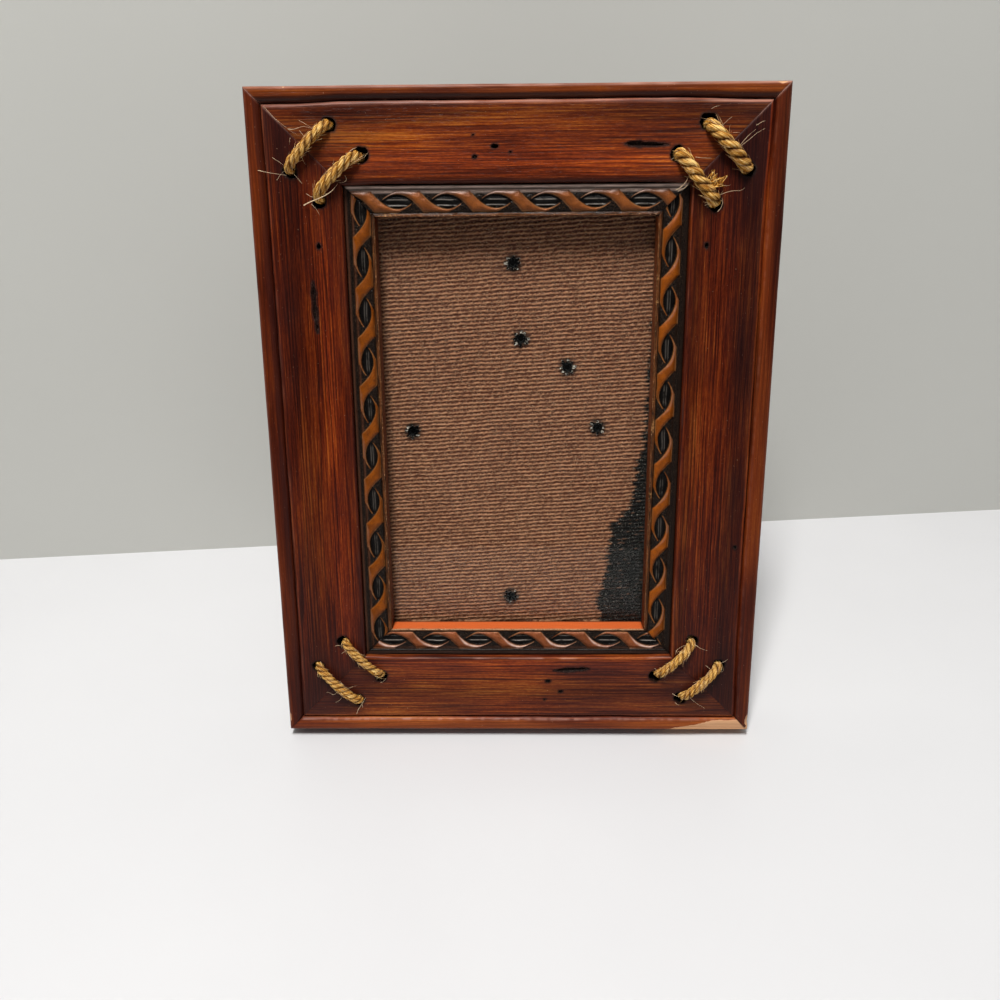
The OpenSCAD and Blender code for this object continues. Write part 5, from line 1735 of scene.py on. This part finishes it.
def metal_material(name, burst=False):
    """Sheet or wire steel: rolled streaks, dulled patches and spots of rust."""
    light, dark, rust, smooth, dull, rusty, size = STEELS[name]
    p = Paint(name, cad=not burst)
    streak = p.noise(p.stretch(0.12 * size, 4.0 * size, 0.5 * size), 3.0, 0.6)
    patch = p.cloud(3.0 * size, 4.0, 0.6)
    fine = p.cloud(0.3, 3.0, 0.65)
    tone = p.weigh((patch, 0.6), (streak, 0.4))
    colour = p.mix(p.step(tone, 0.35, 0.65), dark, light)
    spot = p.step(p.plus(patch, p.times(fine, 0.5)), 0.98 - rusty, 1.08 - rusty)
    colour = p.mix(spot, colour, p.mix(fine, rust, rgb(60, 34, 22)))
    metallic = p.math("SUBTRACT", 1.0, p.times(spot, 0.8))
    if burst:
        # Black painted shade lies in and round the bore, and the petals' tips have painted glints in
        # places.
        bore_shade = p.mask("bore_shade")
        lit = p.step(p.plus(fine, p.times(patch, 0.8)), 0.96, 1.0)
        bright = p.times(p.mask("tip"), lit)
        colour = p.mix(bore_shade, p.mix(bright, colour, rgb(255, 238, 224)), rgb(3, 3, 3))
        metallic = p.times(metallic, p.math("SUBTRACT", 1.0, p.most(bore_shade, bright)))
    rough = p.plus(p.step(tone, 0.3, 0.7, dull, smooth), p.times(spot, 0.3), True)
    height = p.weigh((streak, 0.3), (fine, 0.5))
    return p.surface(
        Base_Color=colour, Metallic=metallic, Roughness=rough, Normal=p.bump(height, 0.03),
        Specular_IOR_Level=0.08 if burst else 0.5,
    )


aged = metal_material("aged_steel")
burst_steel = metal_material("aged_steel_burst", burst=True)
plated = metal_material("plated_steel")
plain = metal_material("plain_steel")
for number, (node, x, z, head_back) in enumerate(eyelets):
    name = node + "_burst" if node in EYELET_NODES else "hinge_eyelet_burst_" + str(number - 3)
    eyelet = Eyelet(x, z, head_back, 700 + number).build(name)
    fit(eyelet, "frame", "aged_steel", burst_steel, node)


# Glass: nearly clear, with dust, a film of dirt and a few upright scratches
def glass_material():
    p = Paint("window_glass", cad=True)
    dust = p.step(p.cloud(0.5, 2.0, 0.6), 0.74, 0.82)
    film = p.step(p.noise(p.stretch(30, 30, 45), 3.0, 0.6), 0.4, 0.8)
    scratch = p.step(p.noise(p.stretch(0.25, 0.25, 22, (4, 4, 4)), 2.0), 0.76, 0.82)
    haze = p.weigh((dust, 0.12), (film, 0.004), (scratch, 0.04))
    clear = p.node("BsdfTransparent", {"Color": (0.94, 0.965, 0.955, 1)})
    shine = p.node("BsdfGlossy", {"Roughness": 0.04, "Color": (1, 1, 1, 1)})
    fresnel = p.times(p.node("Fresnel", {"IOR": 1.48}), 0.2)
    glass = p.node("MixShader", {0: fresnel, 1: clear, 2: shine})
    grey = p.node("BsdfDiffuse", {"Color": (0.75, 0.74, 0.72, 1)})
    return p.out(p.node("MixShader", {0: haze, 1: glass, 2: grey}))


# Strut: hardboard painted black outside; the face towards the board is bare and brown
def strut_material():
    p = Paint("strut_hardboard", cad=True)
    fibre = p.cloud(0.9, 4.0, 0.65)
    cloud = p.cloud(14, 3.0, 0.6)
    speck = p.cloud(0.35, 2.0, 0.6)
    black = p.mix(p.step(fibre, 0.4, 0.7), rgb(26, 25, 25), rgb(44, 42, 41))
    black = p.mix(p.times(p.step(cloud, 0.55, 0.75), 0.4), black, rgb(66, 60, 56))
    black = p.mix(p.times(p.step(speck, 0.7, 0.78), 0.6), black, rgb(120, 96, 74))
    brown = p.mix(fibre, rgb(92, 60, 40), rgb(140, 100, 72))
    facing = p.node("SeparateXYZ", {0: p.node("TexCoord", out=1)}, out=1)
    inner = p.step(p.plus(facing, p.centred(cloud, 0.3)), -0.55, -0.75)
    colour = p.mix(inner, black, brown)
    rough = p.step(fibre, 0.3, 0.7, 0.45, 0.7)
    return p.surface(Base_Color=colour, Roughness=rough, Normal=p.bump(fibre, 0.08))


# CAD nodes that stay get their own materials, and all but the glass get eased edges
def dress(node, material, ease=0):
    piece = nodes[node]
    for slot in piece.material_slots:
        slot.material = material
    if ease:
        weld = piece.modifiers.new("weld", "WELD")
        weld.merge_threshold = 0.002 * MM
        bevel = piece.modifiers.new("ease", "BEVEL")
        bevel.width = ease * MM
        bevel.segments = 2
        bevel.limit_method = "ANGLE"
        bevel.angle_limit = math.radians(50)


dress("glass_pane", glass_material())
dress("strut", strut_material(), 0.35)
for node in ("hinge_board_leaf", "hinge_strut_leaf"):
    dress(node, plated, 0.12)
for node in ("clip_left", "clip_bottom", "hanger_clip_top", "hanger_clip_right"):
    dress(node, plated, 0.12)
dress("hinge_pin", plated, 0.1)
dress("strut_rivets", aged, 0.1)
dress("mitre_nails", plain, 0.05)
dress("slip_pins", plain, 0.05)


# Floor, backdrop and lights, in metres
def plane(name, corners, material):
    mesh = bpy.data.meshes.new(name)
    mesh.from_pydata(corners, [], [(0, 1, 2, 3)])
    mesh.materials.append(material)
    piece = add_object(name, mesh)


def floor_material():
    p = Paint("white_floor", cad=True)
    colour = p.mix(p.cloud(160, 3.0, 0.6), rgb(205, 205, 207), rgb(213, 213, 215))
    return p.surface(Base_Color=colour, Roughness=p.step(p.cloud(2, 2.0), 0.3, 0.7, 0.32, 0.4))


def backdrop_material():
    """Pale grey from the front; from behind it lets everything through."""
    p = Paint("grey_backdrop", cad=True)
    colour = p.mix(p.cloud(220, 2.0), rgb(186, 186, 181), rgb(194, 194, 189))
    wall = p.node("BsdfPrincipled", {"Base Color": colour, "Roughness": 0.8})
    behind = p.node("NewGeometry", out=6)
    return p.out(p.node("MixShader", {0: behind, 1: wall, 2: p.node("BsdfTransparent")}))


# Both are 2 m wide. The wall stands a little askew: how far back it is at its left and right end.
FLOOR_FRONT = -0.45
WALL_LEFT = 0.015
WALL_RIGHT = 0.221
WALL_TOP = 0.7
plane("floor", [(-1, FLOOR_FRONT, 0), (1, FLOOR_FRONT, 0), (1, 1, 0), (-1, 1, 0)], floor_material())
plane(
    "backdrop",
    [(-1, WALL_LEFT, 0), (1, WALL_RIGHT, 0), (1, WALL_RIGHT, WALL_TOP), (-1, WALL_LEFT, WALL_TOP)],
    backdrop_material(),
)

# Lights: place, width, height, watts and colour. All look at the middle of the frame.
LIGHTS = {
    "key": ((-0.13, -0.52, 1.33), 0.18, 0.5, 24.0, (1.0, 0.985, 0.96)),
    "ceiling": ((0.1, -0.1, 1.5), 1.1, 1.1, 1.5, (0.97, 0.98, 1.0)),
    "front_fill": ((0.5, -1.5, 1.15), 1.0, 0.6, 2.0, (0.97, 0.98, 1.0)),
    "back_fill": ((0.6, 1.5, 0.9), 1.2, 0.9, 7.0, (0.95, 0.97, 1.0)),
}
LIGHT_AIM = Vector((0, 0, 0.1))


def area_light(name, place, width, height, power, colour):
    data = bpy.data.lights.new(name, "AREA")
    data.shape = "RECTANGLE"
    data.size = width
    data.size_y = height
    data.energy = power
    data.color = colour
    light = add_object(name, data)
    light.location = place
    light.rotation_mode = "QUATERNION"
    light.rotation_quaternion = (LIGHT_AIM - Vector(place)).to_track_quat("-Z", "Y")


def light_room():
    """The camera sees a pale room; the object is lit mostly by the lamps."""
    world = bpy.data.worlds.new("studio")
    bpy.context.scene.world = world
    world.use_nodes = True
    tree = world.node_tree
    sky = tree.nodes["Background"]
    sky.inputs["Color"].default_value = (0.86, 0.88, 0.9, 1)
    seen = tree.nodes.new("ShaderNodeLightPath")
    level = tree.nodes.new("ShaderNodeMapRange")
    level.inputs["To Min"].default_value = 0.09
    level.inputs["To Max"].default_value = 0.60
    tree.links.new(seen.outputs["Is Camera Ray"], level.inputs["Value"])
    tree.links.new(level.outputs[0], sky.inputs["Strength"])


for name, look in LIGHTS.items():
    area_light(name, *look)
light_room()
bpy.context.scene.view_settings.view_transform = "Standard"
bpy.context.scene.view_settings.look = "None"
